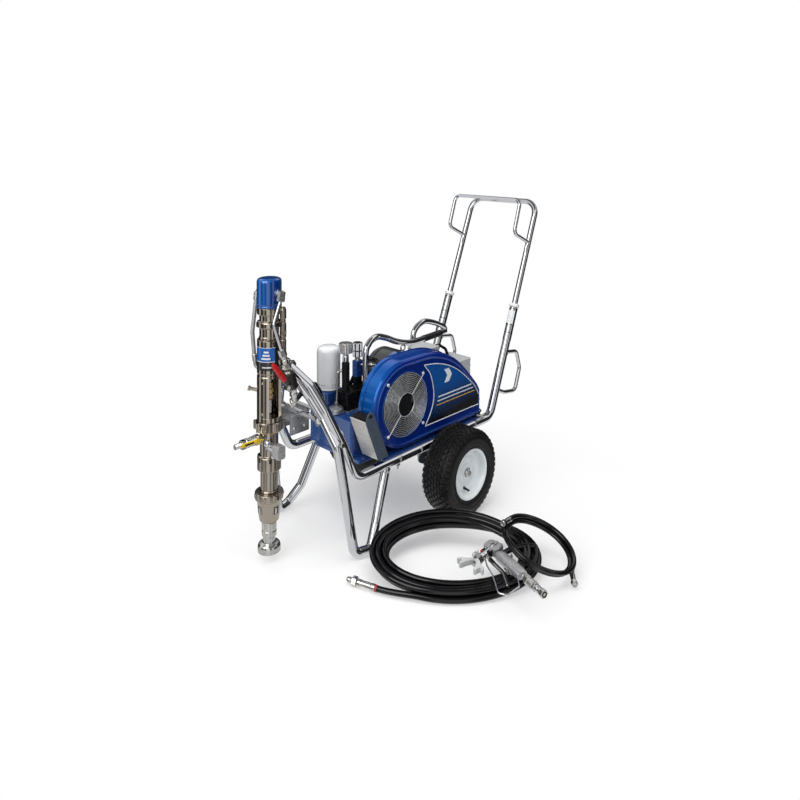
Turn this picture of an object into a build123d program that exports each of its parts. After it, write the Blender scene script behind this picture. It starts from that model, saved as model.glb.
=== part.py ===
"""Cart-mounted airless paint sprayer with a hydraulic paint pump, hose, whip hose and gun.

Everything is laid out from the floor under the wheel axle: -X towards the pump, +X towards
the handle, -Y towards the belt guard, +Z up.  The saved parts are then moved so that the
row's origin is the middle of the strainer's foot.
"""
import os
from math import atan2, cos, degrees, radians, sin

from build123d import *

os.makedirs("parts", exist_ok=True)

# ---- chassis ---------------------------------------------------------------------------
TUBE_R = 17.0             # main frame tube
TRACK_Y = 184.0           # rails and handle tubes, from the middle plane
RAIL_Z = 254.0
HANDLE_LEAN = 0.4133      # handle's run along X for each mm of height
HANDLE_X = 482.0          # handle line at the sleeve's top
HANDLE_Z = 683.0
SLEEVE_FOOT_Z = 552.0
GRIP_R = 12.5             # telescoping handle tube
RUNG_R = 8.0
LIFT_R = 12.0             # lifting bars
RUNNING = 0.05            # radial clearance of every running fit

# ---- wheels ----------------------------------------------------------------------------
AXLE_Z = 160.0
AXLE_R = 10.0
TYRE_R = 160.0
TYRE_INNER_Y = 208.0
TYRE_OUTER_Y = 333.6
RIM_R = 84.0

# ---- drive -----------------------------------------------------------------------------
FAN_X, FAN_Z = -213.0, 444.0
MOTOR_X, MOTOR_Z = -42.0, 472.0
MOTOR_R = 90.0
GUARD_FACE_Y = -190.0
GUARD_BACK_Y = -110.0
FAN_OPENING_R = 116.0
DRIVEN_R = 70.0
DRIVER_R = 35.0

# ---- pump ------------------------------------------------------------------------------
PUMP_X = -686.0
FOOT_Z = 28.0
PIVOT_X, PIVOT_Z = -626.0, 655.0
OUTLET_Z = 417.0
DRAIN_X, DRAIN_Z = -705.0, 390.0
RED_X, RED_Z = -690.0, 605.0
YELLOW_X = -738.0

# ---- hose, whip hose and gun on the floor ----------------------------------------------
VIEW_IN = Vector(0.7218, 0.6921, 0)      # across the coil
VIEW_RIGHT = Vector(0.6921, -0.7218, 0)  # along the coil
COIL_TILT = 10.0
GUN_Z = 82.0

ROW_ORIGIN = Location((-PUMP_X, 0, -FOOT_Z))


def handle_point(height, side):
    """Point on the handle tubes' centre line at a height; side is -1 near, +1 far."""
    return (HANDLE_X + (height - HANDLE_Z) * HANDLE_LEAN, side * TRACK_Y, height)


def save(builder, name):
    """Write one sub-part in the row's frame."""
    placed = builder.part.moved(ROW_ORIGIN)
    placed.label = name
    export_step(placed, f"parts/{name}.step")


# ======================================================================= frame
with BuildPart() as frame_tubes:
    with BuildLine() as run:
        FilletPolyline(
            handle_point(SLEEVE_FOOT_Z, -1),
            handle_point(RAIL_Z, -1),
            (-457, -TRACK_Y, RAIL_Z),
            (-518, -TRACK_Y, 384),
            (-562, -150, 500),
            (-592, -100, 586),
            (-636, -47, 648),
            radius=52,
        )
    with BuildSketch(Plane(origin=run.line @ 0, z_dir=run.line % 0)):
        Circle(TUBE_R)
    sweep()
    # the handle slides down inside the lower tube
    with BuildSketch(Plane(origin=run.line @ 0, z_dir=run.line % 0)):
        Circle(GRIP_R + 1.5)
    extrude(amount=240, mode=Mode.SUBTRACT)
    # luggage-style loops behind the lower tubes
    with BuildLine() as loop:
        FilletPolyline(
            handle_point(502, -1),
            (500, -TRACK_Y, 488),
            (524, -TRACK_Y, 410),
            (488, -TRACK_Y, 318),
            (410, -TRACK_Y, 330),
            handle_point(356, -1),
            radius=26,
        )
    with BuildSketch(Plane(origin=loop.line @ 0, z_dir=loop.line % 0)):
        Circle(RUNG_R)
    sweep()
    with BuildSketch(Plane(origin=run.line @ 0, z_dir=run.line % 0)):
        Circle(GRIP_R + 1.5)
    extrude(amount=240, mode=Mode.SUBTRACT)
    mirror(about=Plane.XZ)

with BuildPart() as legs:
    with BuildLine() as leg:
        FilletPolyline(
            (-622, -40, 622),
            (-578, -82, 540),
            (-553, -124, 470),
            (-545, -190, 385),
            (-490, -212, 17),
            (-432, -230, 17),
            (-385, -207, 78),
            (-313, -186, 244),
            radius=26,
        )
    with BuildSketch(Plane(origin=leg.line @ 0, z_dir=leg.line % 0)):
        Circle(TUBE_R)
    sweep()
    mirror(about=Plane.XZ)

with BuildPart() as handle_sleeves:
    sleeve_plane = Plane(origin=handle_point(SLEEVE_FOOT_Z + 1, -1), z_dir=(HANDLE_LEAN, 0, 1))
    with BuildSketch(sleeve_plane):
        Circle(TUBE_R + 1)
        Circle(GRIP_R + 1.5, mode=Mode.SUBTRACT)
    extrude(amount=139)
    with BuildSketch(sleeve_plane.offset(60)):
        Circle(TUBE_R + 2.2)
        Circle(TUBE_R + 0.5, mode=Mode.SUBTRACT)
    extrude(amount=2)
    # spring button that locks the height
    with BuildSketch(Plane(origin=handle_point(650, -1), z_dir=(1, 0, -HANDLE_LEAN)).offset(TUBE_R)):
        Circle(5)
    extrude(amount=6)
    mirror(about=Plane.XZ)

with BuildPart() as sleeve_collars:
    collar_plane = Plane(origin=handle_point(HANDLE_Z, -1), z_dir=(HANDLE_LEAN, 0, 1))
    with BuildSketch(collar_plane):
        Circle(21.5)
        Circle(GRIP_R + RUNNING, mode=Mode.SUBTRACT)
    extrude(amount=16)
    mirror(about=Plane.XZ)

with BuildPart() as upper_handle:
    with BuildLine() as grip:
        FilletPolyline(
            handle_point(588, -1),
            handle_point(1131, -1),
            handle_point(1131, 1),
            handle_point(588, 1),
            radius=62,
        )
    with BuildSketch(Plane(origin=grip.line @ 0, z_dir=grip.line % 0)):
        Circle(GRIP_R)
    sweep()

with BuildPart() as handle_rungs:
    with BuildLine() as rung:
        FilletPolyline(
            handle_point(955, -1),
            (483, -TRACK_Y, 1006),
            (533, -TRACK_Y, 1150),
            (533, TRACK_Y, 1150),
            (483, TRACK_Y, 1006),
            handle_point(955, 1),
            radius=28,
        )
    with BuildSketch(Plane(origin=rung.line @ 0, z_dir=rung.line % 0)):
        Circle(RUNG_R)
    sweep()

with BuildPart() as axle:
    with BuildSketch(Plane.XZ.offset(-321)):
        with Locations((0, AXLE_Z)):
            Circle(AXLE_R)
    extrude(amount=642)
    for cap_start in (-313.5, 201, -207, 307.5):
        with BuildSketch(Plane.XZ.offset(cap_start)):
            with Locations((0, AXLE_Z)):
                Circle(14)
        extrude(amount=6)

with BuildPart() as deck_plate:
    with BuildSketch(Plane.XY.offset(RAIL_Z + TUBE_R + 0.5)):
        with Locations((-40, 0)):
            Rectangle(580, 376)
    extrude(amount=5)
    # tray under the front of the tank
    with BuildSketch(Plane.XY.offset(268)):
        with Locations((-366, -18)):
            Rectangle(72, 246)
    extrude(amount=12)
    # hangers that carry the axle
    for side in (-1, 1):
        with BuildSketch(Plane.XZ.offset(-side * 160)):
            with BuildLine():
                Polyline(
                    (-118, RAIL_Z + 18),
                    (70, RAIL_Z + 18),
                    (34, 150),
                    (16, 136),
                    (-16, 136),
                    (-64, 166),
                    (-112, 188),
                    close=True,
                )
            make_face()
            with Locations((0, AXLE_Z)):
                Circle(AXLE_R, mode=Mode.SUBTRACT)
        extrude(amount=3, both=True)
    # saddles clamping the deck to the rails
    for saddle_x in (-250, -136, 120, 190):
        for side in (-1, 1):
            with BuildSketch(Plane.XY.offset(RAIL_Z - TUBE_R - 9)):
                with Locations((saddle_x, side * TRACK_Y)):
                    RegularPolygon(7, 6)
            extrude(amount=8.5)

# ======================================================================= wheels
def build_tyre(side):
    """Turf tyre on the side given by -1 or +1."""
    with BuildPart() as tyre:
        with BuildSketch(Plane.XY.offset(AXLE_Z)):
            with BuildLine():
                Polyline(
                    (RIM_R, side * (TYRE_INNER_Y + 6)),
                    (RIM_R, side * (TYRE_OUTER_Y - 8)),
                    (92, side * (TYRE_OUTER_Y - 8)),
                    (104, side * (TYRE_OUTER_Y - 1.5)),
                    (126, side * TYRE_OUTER_Y),
                    (146, side * (TYRE_OUTER_Y - 6)),
                    (156, side * (TYRE_OUTER_Y - 16)),
                    (TYRE_R, side * (TYRE_OUTER_Y - 34)),
                    (TYRE_R, side * (TYRE_INNER_Y + 34)),
                    (156, side * (TYRE_INNER_Y + 16)),
                    (146, side * (TYRE_INNER_Y + 6)),
                    (126, side * TYRE_INNER_Y),
                    (104, side * (TYRE_INNER_Y + 1.5)),
                    close=True,
                )
            make_face()
        revolve(axis=Axis((0, 0, AXLE_Z), (0, 1, 0)))
    return tyre


def build_rim(side):
    """Pressed steel rim with a dished web, a hub tube and the valve stem."""
    with BuildPart() as rim:
        with BuildSketch(Plane.XY.offset(AXLE_Z)):
            with BuildLine():
                Polyline(
                    (RIM_R - 4, side * 214),
                    (RIM_R, side * 214),
                    (RIM_R, side * 326.4),
                    (91, side * 326.4),
                    (91, side * 330),
                    (RIM_R - 4, side * 330),
                    (RIM_R - 6, side * 316),
                    (66, side * 303),
                    (34, side * 299),
                    (22, side * 306),
                    (AXLE_R + RUNNING, side * 306),
                    (AXLE_R + RUNNING, side * 210),
                    (22, side * 210),
                    (22, side * 295),
                    (64, side * 297),
                    (RIM_R - 4, side * 306),
                    close=True,
                )
            make_face()
        revolve(axis=Axis((0, 0, AXLE_Z), (0, 1, 0)))
        stem_plane = Plane(origin=(-14, side * 300, AXLE_Z - 44), z_dir=(0.15, side * 1, -0.4))
        with BuildSketch(stem_plane):
            Circle(4.5)
        extrude(amount=24)
    return rim


tyre_near = build_tyre(-1)
tyre_far = build_tyre(1)
rim_near = build_rim(-1)
rim_far = build_rim(1)

# ======================================================================= tank and hydraulics
with BuildPart() as reservoir:
    with BuildSketch(Plane.XY.offset(281)):
        with Locations((-275, 18)):
            Rectangle(250, 242)
    extrude(amount=124)
    fillet(reservoir.edges().filter_by(Axis.Z), 10)
    fillet(reservoir.faces().sort_by(Axis.Z)[-1].edges(), 5)

with BuildPart() as filter_head:
    # head under the filter
    with BuildSketch(Plane.XY.offset(405.2)):
        with Locations((-345, 88)):
            Rectangle(88, 84)
    extrude(amount=64)
    # block under the breather and the pressure control
    with BuildSketch(Plane.XY.offset(405.2)):
        with Locations((-299, 12)):
            Rectangle(94, 62)
    extrude(amount=68)
    with BuildSketch(Plane.XY.offset(473)):
        with Locations((-262, 18)):
            Rectangle(34, 26)
    extrude(amount=102)

with BuildPart() as filter_can:
    with BuildSketch(Plane.XY.offset(469.4)):
        with Locations((-345, 90)):
            Circle(45)
    extrude(amount=164)
    fillet(filter_can.faces().sort_by(Axis.Z)[-1].edges(), 14)
    chamfer(filter_can.faces().sort_by(Axis.Z)[0].edges(), 3)

with BuildPart() as relief_valve:
    with BuildSketch(Plane.XY.offset(473.4)):
        with Locations((-330, 10)):
            Circle(14)
    extrude(amount=112)
    for rib in range(11):
        with BuildSketch(Plane.XY.offset(484 + rib * 9)):
            with Locations((-330, 10)):
                Circle(15.5)
        extrude(amount=5)
    with BuildSketch(Plane.XY.offset(560)):
        with Locations((-330, 10)):
            Circle(6 + RUNNING)
    extrude(amount=40, mode=Mode.SUBTRACT)

with BuildPart() as pressure_knob:
    with BuildSketch(Plane.XY.offset(562)):
        with Locations((-330, 10)):
            Circle(6)
    extrude(amount=58)
    with BuildSketch(Plane.XY.offset(586.5)):
        with Locations((-330, 10)):
            Circle(12)
    extrude(amount=33)
    with BuildSketch(Plane.XY.offset(618)):
        with Locations((-330, 10)):
            Circle(26.5)
            with PolarLocations(28, 12):
                Circle(4, mode=Mode.SUBTRACT)
    extrude(amount=38)
    chamfer(pressure_knob.faces().sort_by(Axis.Z)[-1].edges(), 2)

with BuildPart() as filler_cap:
    with BuildSketch(Plane.XY.offset(575.5)):
        with Locations((-262, 18)):
            Circle(10)
    extrude(amount=12)
    with BuildSketch(Plane.XY.offset(587)):
        with Locations((-262, 18)):
            Circle(19)
            with PolarLocations(20, 8):
                Circle(4.5, mode=Mode.SUBTRACT)
    extrude(amount=24)
    with BuildSketch(Plane.XY.offset(611)):
        with Locations((-262, 18)):
            Circle(19.5)
            with PolarLocations(21, 8):
                Circle(4.5, mode=Mode.SUBTRACT)
    extrude(amount=32)

with BuildPart() as suction_dome:
    with BuildSketch(Plane.XY.offset(405.2)):
        with Locations((-378, 14)):
            Circle(31)
    extrude(amount=26)
    fillet(suction_dome.edges().filter_by(GeomType.CIRCLE).sort_by(Axis.Z)[-1], 11)

with BuildPart() as steel_lines:
    with BuildLine() as drop_line:
        FilletPolyline((-368, 18, 432), (-362, 18, 552), (-346.5, 14, 556), radius=8)
    with BuildSketch(Plane(origin=drop_line.line @ 0, z_dir=drop_line.line % 0)):
        Circle(4)
    sweep()
    with BuildLine() as cross_line:
        Polyline((-258, 2, 560), (-226, -36, 560), (-196, -66, 556))
    with BuildSketch(Plane(origin=cross_line.line @ 0, z_dir=cross_line.line % 0)):
        Circle(4)
    sweep(transition=Transition.ROUND)
    with BuildSketch(Plane(origin=(-236, -24, 560), z_dir=(0.64, -0.77, 0))):
        RegularPolygon(8, 6)
    extrude(amount=9, both=True)

with BuildPart() as hydraulic_pump:
    with BuildSketch(Plane.XZ.offset(97)):
        with Locations((FAN_X, FAN_Z)):
            Circle(37)
            Circle(AXLE_R + RUNNING, mode=Mode.SUBTRACT)
    extrude(amount=-110)
    with BuildSketch(Plane.XZ.offset(-12)):
        with Locations((FAN_X, FAN_Z)):
            Circle(37)
    extrude(amount=-30)
    with BuildSketch(Plane.XY.offset(474)):
        with Locations((-228, -52)):
            Rectangle(44, 40)
    extrude(amount=74)
    with BuildSketch(Plane.XY.offset(474)):
        with Locations((-220, -8)):
            Circle(15)
    extrude(amount=58)

# ======================================================================= motor and boxes
with BuildPart() as motor_body:
    with BuildSketch(Plane.XZ.offset(96)):
        with Locations((MOTOR_X, MOTOR_Z)):
            Circle(MOTOR_R)
    extrude(amount=-226)
    fillet(motor_body.edges().filter_by(GeomType.CIRCLE), 8)
    # raised ring between the shell and the end bell
    with BuildSketch(Plane.XZ.offset(66)):
        with Locations((MOTOR_X, MOTOR_Z)):
            Circle(MOTOR_R + 3)
    extrude(amount=-14)
    with BuildSketch(Plane.XZ.offset(100)):
        with Locations((MOTOR_X, MOTOR_Z)):
            Circle(12 + RUNNING)
    extrude(amount=-30, mode=Mode.SUBTRACT)
    # foot
    with BuildSketch(Plane.XY.offset(276.8)):
        with Locations((MOTOR_X, -4)):
            Rectangle(150, 130)
    extrude(amount=8)
    with BuildSketch(Plane.XY.offset(284)):
        with Locations((MOTOR_X, -4)):
            Rectangle(90, 110)
    extrude(amount=110)
    # lifting eye
    with BuildSketch(Plane.XY.offset(558)):
        with Locations((MOTOR_X - 6, -18)):
            Circle(6)
    extrude(amount=16)
    with BuildSketch(Plane.XZ.offset(18)):
        with Locations((MOTOR_X - 6, 584)):
            Circle(15)
            Circle(8.5, mode=Mode.SUBTRACT)
    extrude(amount=4, both=True)

with BuildPart() as junction_box:
    with BuildSketch(Plane.XY.offset(541.5)):
        with Locations((72, -20)):
            Rectangle(104, 88)
    extrude(amount=26)
    fillet(junction_box.edges().filter_by(Axis.Z), 6)
    fillet(junction_box.faces().sort_by(Axis.Z)[-1].edges(), 4)
    with BuildSketch(Plane.XY.offset(516)):
        with Locations((56, -20)):
            Rectangle(26, 60)
    extrude(amount=27)

with BuildPart() as electrical_box:
    with BuildSketch(Plane.XY.offset(276.8)):
        with Locations((245, -35)):
            Rectangle(90, 126)
    extrude(amount=212)
    fillet(electrical_box.edges().filter_by(Axis.Z), 7)
    fillet(electrical_box.faces().sort_by(Axis.Z)[-1].edges(), 5)
    with BuildSketch(Plane.YZ.offset(280)):
        with Locations((-35, 440)):
            Circle(4 + RUNNING)
    extrude(amount=15, mode=Mode.SUBTRACT)

with BuildPart() as power_switch:
    with BuildSketch(Plane.YZ.offset(281)):
        with Locations((-35, 440)):
            Circle(4)
    extrude(amount=14)
    with BuildSketch(Plane.YZ.offset(291)):
        with Locations((-35, 440)):
            Circle(17)
    extrude(amount=7)
    with BuildSketch(Plane.YZ.offset(298)):
        with Locations((-35, 440)):
            Rectangle(8, 30)
    extrude(amount=13)

# ======================================================================= belt drive
with BuildPart() as belt_guard:
    with BuildSketch(Plane.XZ.offset(-GUARD_BACK_Y)) as guard_outline:
        with BuildLine():
            Line((245, 279), (FAN_X, 279))
            ThreePointArc((FAN_X, 279), (FAN_X - 165, FAN_Z), (FAN_X, 609))
            Line((FAN_X, 609), (-110, 609))
            crown = TangentArc((-110, 609), (137, 511), tangent=(1, 0))
            TangentArc((137, 511), (228, 416), tangent=crown % 1)
            Line((228, 416), (245, 388))
            Line((245, 388), (245, 279))
        make_face()
        fillet(guard_outline.vertices().sort_by(Axis.X)[-2:].sort_by(Axis.Y)[:1], 12)
    extrude(amount=GUARD_BACK_Y - GUARD_FACE_Y)
    fillet(belt_guard.faces().sort_by(Axis.Y)[0].edges(), 8)
    with BuildSketch(Plane.XZ.offset(-GUARD_BACK_Y)):
        add(guard_outline.sketch_local)
        offset(amount=-3, mode=Mode.REPLACE)
    extrude(amount=GUARD_BACK_Y - GUARD_FACE_Y - 3, mode=Mode.SUBTRACT)
    with BuildSketch(Plane.XZ.offset(-GUARD_BACK_Y)):
        with Locations((FAN_X, FAN_Z)):
            Circle(FAN_OPENING_R)
    extrude(amount=GUARD_BACK_Y - GUARD_FACE_Y + 1, mode=Mode.SUBTRACT)
    # outlet of the cooling air, behind the duct
    with BuildSketch(Plane.XZ.offset(-GUARD_BACK_Y)):
        with Locations((FAN_X - 160, 372)):
            Rectangle(140, 136)
    extrude(amount=66, mode=Mode.SUBTRACT)

with BuildPart() as fan_grille:
    for ring in range(12):
        with BuildSketch(Plane(origin=(FAN_X + 36 + ring * 7, GUARD_FACE_Y - 2.4, FAN_Z), z_dir=(0, 0, 1))):
            Circle(1.2)
        revolve(axis=Axis((FAN_X, 0, FAN_Z), (0, 1, 0)))
    for turn in (45, 135):
        cross = Plane(
            origin=(FAN_X, GUARD_FACE_Y - 4.2, FAN_Z),
            z_dir=(cos(radians(turn)), 0, sin(radians(turn))),
        )
        with BuildSketch(cross):
            Circle(1.8)
        extrude(amount=133, both=True)
    for screw in range(4):
        turn = radians(45 + screw * 90)
        with BuildSketch(Plane.XZ.offset(-GUARD_FACE_Y + 0.2)):
            with Locations((FAN_X + 132 * cos(turn), FAN_Z + 132 * sin(turn))):
                Circle(6.5)
        extrude(amount=7)

with BuildPart() as fan_rotor:
    with BuildSketch(Plane.XZ.offset(150)):
        with Locations((FAN_X, FAN_Z)):
            Circle(34)
    extrude(amount=35)
    for blade in range(7):
        turn = blade * 360 / 7
        blade_plane = Plane(
            origin=(FAN_X, -167, FAN_Z),
            z_dir=(cos(radians(turn)), 0, sin(radians(turn))),
            x_dir=(-0.5 * sin(radians(turn)), -0.866, 0.5 * cos(radians(turn))),
        )
        with BuildSketch(blade_plane.offset(30)):
            Rectangle(30, 3)
        extrude(amount=78)
    with BuildSketch(Plane.XZ.offset(78)):
        with Locations((FAN_X, FAN_Z)):
            Circle(AXLE_R)
    extrude(amount=73)
    with BuildSketch(Plane.XZ.offset(124)):
        with Locations((FAN_X, FAN_Z)):
            Circle(DRIVEN_R)
    extrude(amount=20)

with BuildPart() as motor_pulley:
    with BuildSketch(Plane.XZ.offset(124)):
        with Locations((MOTOR_X, MOTOR_Z)):
            Circle(DRIVER_R)
    extrude(amount=20)
    with BuildSketch(Plane.XZ.offset(76)):
        with Locations((MOTOR_X, MOTOR_Z)):
            Circle(12)
    extrude(amount=50)

with BuildPart() as drive_belt:
    with BuildSketch(Plane.XZ.offset(127)):
        with Locations((FAN_X, FAN_Z)):
            Circle(DRIVEN_R + 6)
        with Locations((MOTOR_X, MOTOR_Z)):
            Circle(DRIVER_R + 6)
        make_hull()
        with BuildSketch(mode=Mode.PRIVATE) as belt_hollow:
            with Locations((FAN_X, FAN_Z)):
                Circle(DRIVEN_R + 0.3)
            with Locations((MOTOR_X, MOTOR_Z)):
                Circle(DRIVER_R + 0.3)
            make_hull()
        add(belt_hollow.sketch, mode=Mode.SUBTRACT)
    extrude(amount=14)

with BuildPart() as air_duct:
    # bright front plate
    with BuildSketch(Plane.XZ.offset(112)):
        with BuildLine():
            Polyline((-420, 432), (-416.5, 433), (-357, 288), (-360.5, 287), close=True)
        make_face()
    extrude(amount=81)
    # side plate
    with BuildSketch(Plane.XZ.offset(193)):
        with BuildLine():
            Polyline(
                (-420, 432),
                (-414, 456),
                (-400, 468),
                (-384, 462),
                (-309, 286),
                (-360.5, 286),
                close=True,
            )
        make_face()
    extrude(amount=3)
    with BuildSketch(Plane.XZ.offset(196)):
        with Locations((-399, 452)):
            Circle(7)
    extrude(amount=4)

# ======================================================================= lifting bars
with BuildPart() as lift_bar:
    with BuildLine() as near_bar:
        Line((-277, -43, 405.4), (-277, -43, 604))
        Spline(
            (-277, -43, 604),
            (-253, -36, 646),
            (-196, -19, 656),
            (-123, 2, 634),
            (-39, 27, 598),
            (69, 59, 565),
            (184, 93, 549),
            (310, 130, 536),
            (404, 152, 530),
            tangents=((0, 0, 1), (1, 0.2, -0.05)),
        )
    with BuildSketch(Plane(origin=near_bar.line @ 0, z_dir=near_bar.line % 0)):
        Circle(LIFT_R)
    sweep()
    with BuildLine() as far_bar:
        Line((165, 123, 276.8), (165, 123, 550))
        Spline(
            (165, 123, 550),
            (180, 124, 588),
            (218, 129, 605),
            (262, 136, 606),
            (345, 148, 580),
            (410, 153, 548),
            tangents=((0, 0, 1), (1, 0.1, -0.6)),
        )
    with BuildSketch(Plane(origin=far_bar.line @ 0, z_dir=far_bar.line % 0)):
        Circle(LIFT_R)
    sweep()
    clamp_at = Plane(origin=handle_point(520, 1), z_dir=(HANDLE_LEAN, 0, 1))
    with BuildSketch(clamp_at):
        with Locations((0, 0)):
            Circle(TUBE_R + 5)
            Circle(TUBE_R + 0.2, mode=Mode.SUBTRACT)
    extrude(amount=24)

# ======================================================================= pump bracket
with BuildPart() as pump_bracket:
    # pivot pin between the ends of the hoops
    with BuildSketch(Plane.XZ.offset(-52)):
        with Locations((PIVOT_X, PIVOT_Z)):
            Circle(8)
    extrude(amount=104)
    # channel the pump rests against
    with BuildSketch(Plane.XY.offset(408)):
        with Locations((-588, 0)):
            Rectangle(84, 84)
        with Locations((-592, 0)):
            Rectangle(84, 76, mode=Mode.SUBTRACT)
    extrude(amount=72)
    # cross bar between the legs
    with BuildSketch(Plane.XZ.offset(-116)):
        with Locations((-556, 462)):
            Circle(10)
    extrude(amount=232)
    # ears for the bail
    for side in (-1, 1):
        with BuildSketch(Plane.XZ.offset(-side * 161)):
            with Locations((-506, 388)):
                Rectangle(34, 22)
            with Locations((-500, 388)):
                Circle(6 + RUNNING, mode=Mode.SUBTRACT)
        extrude(amount=2, both=True)

with BuildPart() as bail:
    with BuildLine() as bail_wire:
        FilletPolyline(
            (-500, -166, 388),
            (-500, -148, 388),
            (-478, -140, 400),
            (-546, -62, 486),
            (-546, 62, 486),
            (-478, 140, 400),
            (-500, 148, 388),
            (-500, 166, 388),
            radius=8,
        )
    with BuildSketch(Plane(origin=bail_wire.line @ 0, z_dir=bail_wire.line % 0)):
        Circle(6)
    sweep()

# ======================================================================= paint pump
with BuildPart() as pump_cap:
    with BuildSketch(Plane.XY.offset(852.2)):
        with Locations((PUMP_X, 0)):
            Circle(42)
    extrude(amount=99)
    fillet(pump_cap.faces().sort_by(Axis.Z)[-1].edges(), 10)

with BuildPart() as fluid_motor:
    with BuildSketch(Plane.XZ):
        with BuildLine():
            Polyline(
                (PUMP_X, 745.2),
                (PUMP_X + 33, 745.2),
                (PUMP_X + 33, 831),
                (PUMP_X + 41, 831),
                (PUMP_X + 41, 852),
                (PUMP_X, 852),
                close=True,
            )
        make_face()
    revolve(axis=Axis((PUMP_X, 0, 0), (0, 0, 1)))
    with BuildSketch(Plane.XY.offset(786)):
        with Locations((PUMP_X, 0)):
            RegularPolygon(43, 8)
    extrude(amount=20)
    # side valve at the back
    with BuildSketch(Plane.XY.offset(700)):
        with Locations((PUMP_X + 34, -32)):
            Circle(11)
    extrude(amount=151.5)

with BuildPart() as pump_housing:
    with BuildSketch(Plane.XY.offset(470.2)):
        with Locations((PUMP_X, 0)):
            Circle(41)
    extrude(amount=275)
    # hollow and window around the rod
    with BuildSketch(Plane.XY.offset(470.2)):
        with Locations((PUMP_X, 0)):
            Circle(32)
    extrude(amount=155, mode=Mode.SUBTRACT)
    with BuildSketch(Plane.XY.offset(486)):
        with Locations((PUMP_X - 8, -40)):
            Rectangle(42, 50)
    extrude(amount=132, mode=Mode.SUBTRACT)
    with BuildSketch(Plane.XY.offset(486)):
        with Locations((PUMP_X + 20, 40)):
            Rectangle(30, 50)
    extrude(amount=132, mode=Mode.SUBTRACT)
    with BuildSketch(Plane.XY.offset(620)):
        with Locations((PUMP_X, 0)):
            Circle(9 + RUNNING)
    extrude(amount=100, mode=Mode.SUBTRACT)
    # side valve passes behind
    with BuildSketch(Plane.XY.offset(699)):
        with Locations((PUMP_X + 34, -32)):
            Circle(11.2)
    extrude(amount=60, mode=Mode.SUBTRACT)
    # pivot lug
    with BuildSketch(Plane.XZ.offset(-20)):
        with Locations((PIVOT_X - 14, PIVOT_Z)):
            Rectangle(28, 34)
        with Locations((PIVOT_X, PIVOT_Z)):
            Circle(17)
            Circle(8 + RUNNING, mode=Mode.SUBTRACT)
    extrude(amount=40)
    # pail hook on the far side
    with BuildSketch(Plane(origin=(PUMP_X - 6, 38, 560), z_dir=(-0.75, 0.62, 0.25))):
        Circle(6)
    extrude(amount=44)

with BuildPart() as pump_rod:
    with BuildSketch(Plane.XY.offset(400)):
        with Locations((PUMP_X, 0)):
            Circle(11)
    extrude(amount=146)
    with BuildSketch(Plane.XY.offset(545)):
        with Locations((PUMP_X, 0)):
            Circle(18)
    extrude(amount=34)
    with BuildSketch(Plane.XY.offset(579)):
        with Locations((PUMP_X, 0)):
            Circle(14)
    extrude(amount=20)
    with BuildSketch(Plane.XY.offset(599)):
        with Locations((PUMP_X, 0)):
            Circle(9)
    extrude(amount=96)

with BuildPart() as clamp_ring:
    with BuildSketch(Plane.XY.offset(440)):
        with Locations((PUMP_X, 0)):
            Circle(45)
            with PolarLocations(47, 8):
                Circle(7)
        with Locations((PUMP_X, 0)):
            Circle(31.2, mode=Mode.SUBTRACT)
    extrude(amount=30)

with BuildPart() as lower_cylinder:
    with BuildSketch(Plane.XZ):
        with BuildLine():
            Polyline(
                (PUMP_X, 231.2),
                (PUMP_X + 31, 231.2),
                (PUMP_X + 31, 306),
                (PUMP_X + 40, 306),
                (PUMP_X + 40, 352),
                (PUMP_X + 31, 352),
                (PUMP_X + 31, 472),
                (PUMP_X + 24, 472),
                (PUMP_X + 24, 484),
                (PUMP_X, 484),
                close=True,
            )
        make_face()
    revolve(axis=Axis((PUMP_X, 0, 0), (0, 0, 1)))
    with BuildSketch(Plane.XY.offset(330)):
        with Locations((PUMP_X, 0)):
            Circle(11 + RUNNING)
    extrude(amount=160, mode=Mode.SUBTRACT)

with BuildPart() as intake_housing:
    with BuildSketch(Plane.XZ):
        with BuildLine():
            Polyline(
                (PUMP_X + 20, 134),
                (PUMP_X + 33, 134),
                (PUMP_X + 42, 206),
                (PUMP_X + 48, 208),
                (PUMP_X + 48, 231),
                (PUMP_X + 20, 231),
                close=True,
            )
        make_face()
    revolve(axis=Axis((PUMP_X, 0, 0), (0, 0, 1)))
    with BuildSketch(Plane.XY.offset(134)):
        with Locations((PUMP_X, 0)):
            Circle(21)
    extrude(amount=96)
    # inspection windows
    with BuildSketch(Plane.XZ.offset(-60)):
        with Locations((PUMP_X, 176)):
            Rectangle(16, 22)
    extrude(amount=120, mode=Mode.SUBTRACT)
    with BuildSketch(Plane.YZ.offset(PUMP_X - 60)):
        with Locations((0, 176)):
            Rectangle(16, 22)
    extrude(amount=120, mode=Mode.SUBTRACT)

with BuildPart() as strainer:
    with BuildSketch(Plane.XZ):
        with BuildLine():
            Polyline(
                (PUMP_X, FOOT_Z),
                (PUMP_X + 36, FOOT_Z),
                (PUMP_X + 38, FOOT_Z + 2),
                (PUMP_X + 38, 50),
                (PUMP_X + 33, 57),
                (PUMP_X + 21, 58),
                (PUMP_X + 21, 80),
                (PUMP_X + 25, 82),
                (PUMP_X + 25, 130),
                (PUMP_X + 20, 133.8),
                (PUMP_X, 133.8),
                close=True,
            )
        make_face()
    revolve(axis=Axis((PUMP_X, 0, 0), (0, 0, 1)))

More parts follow.
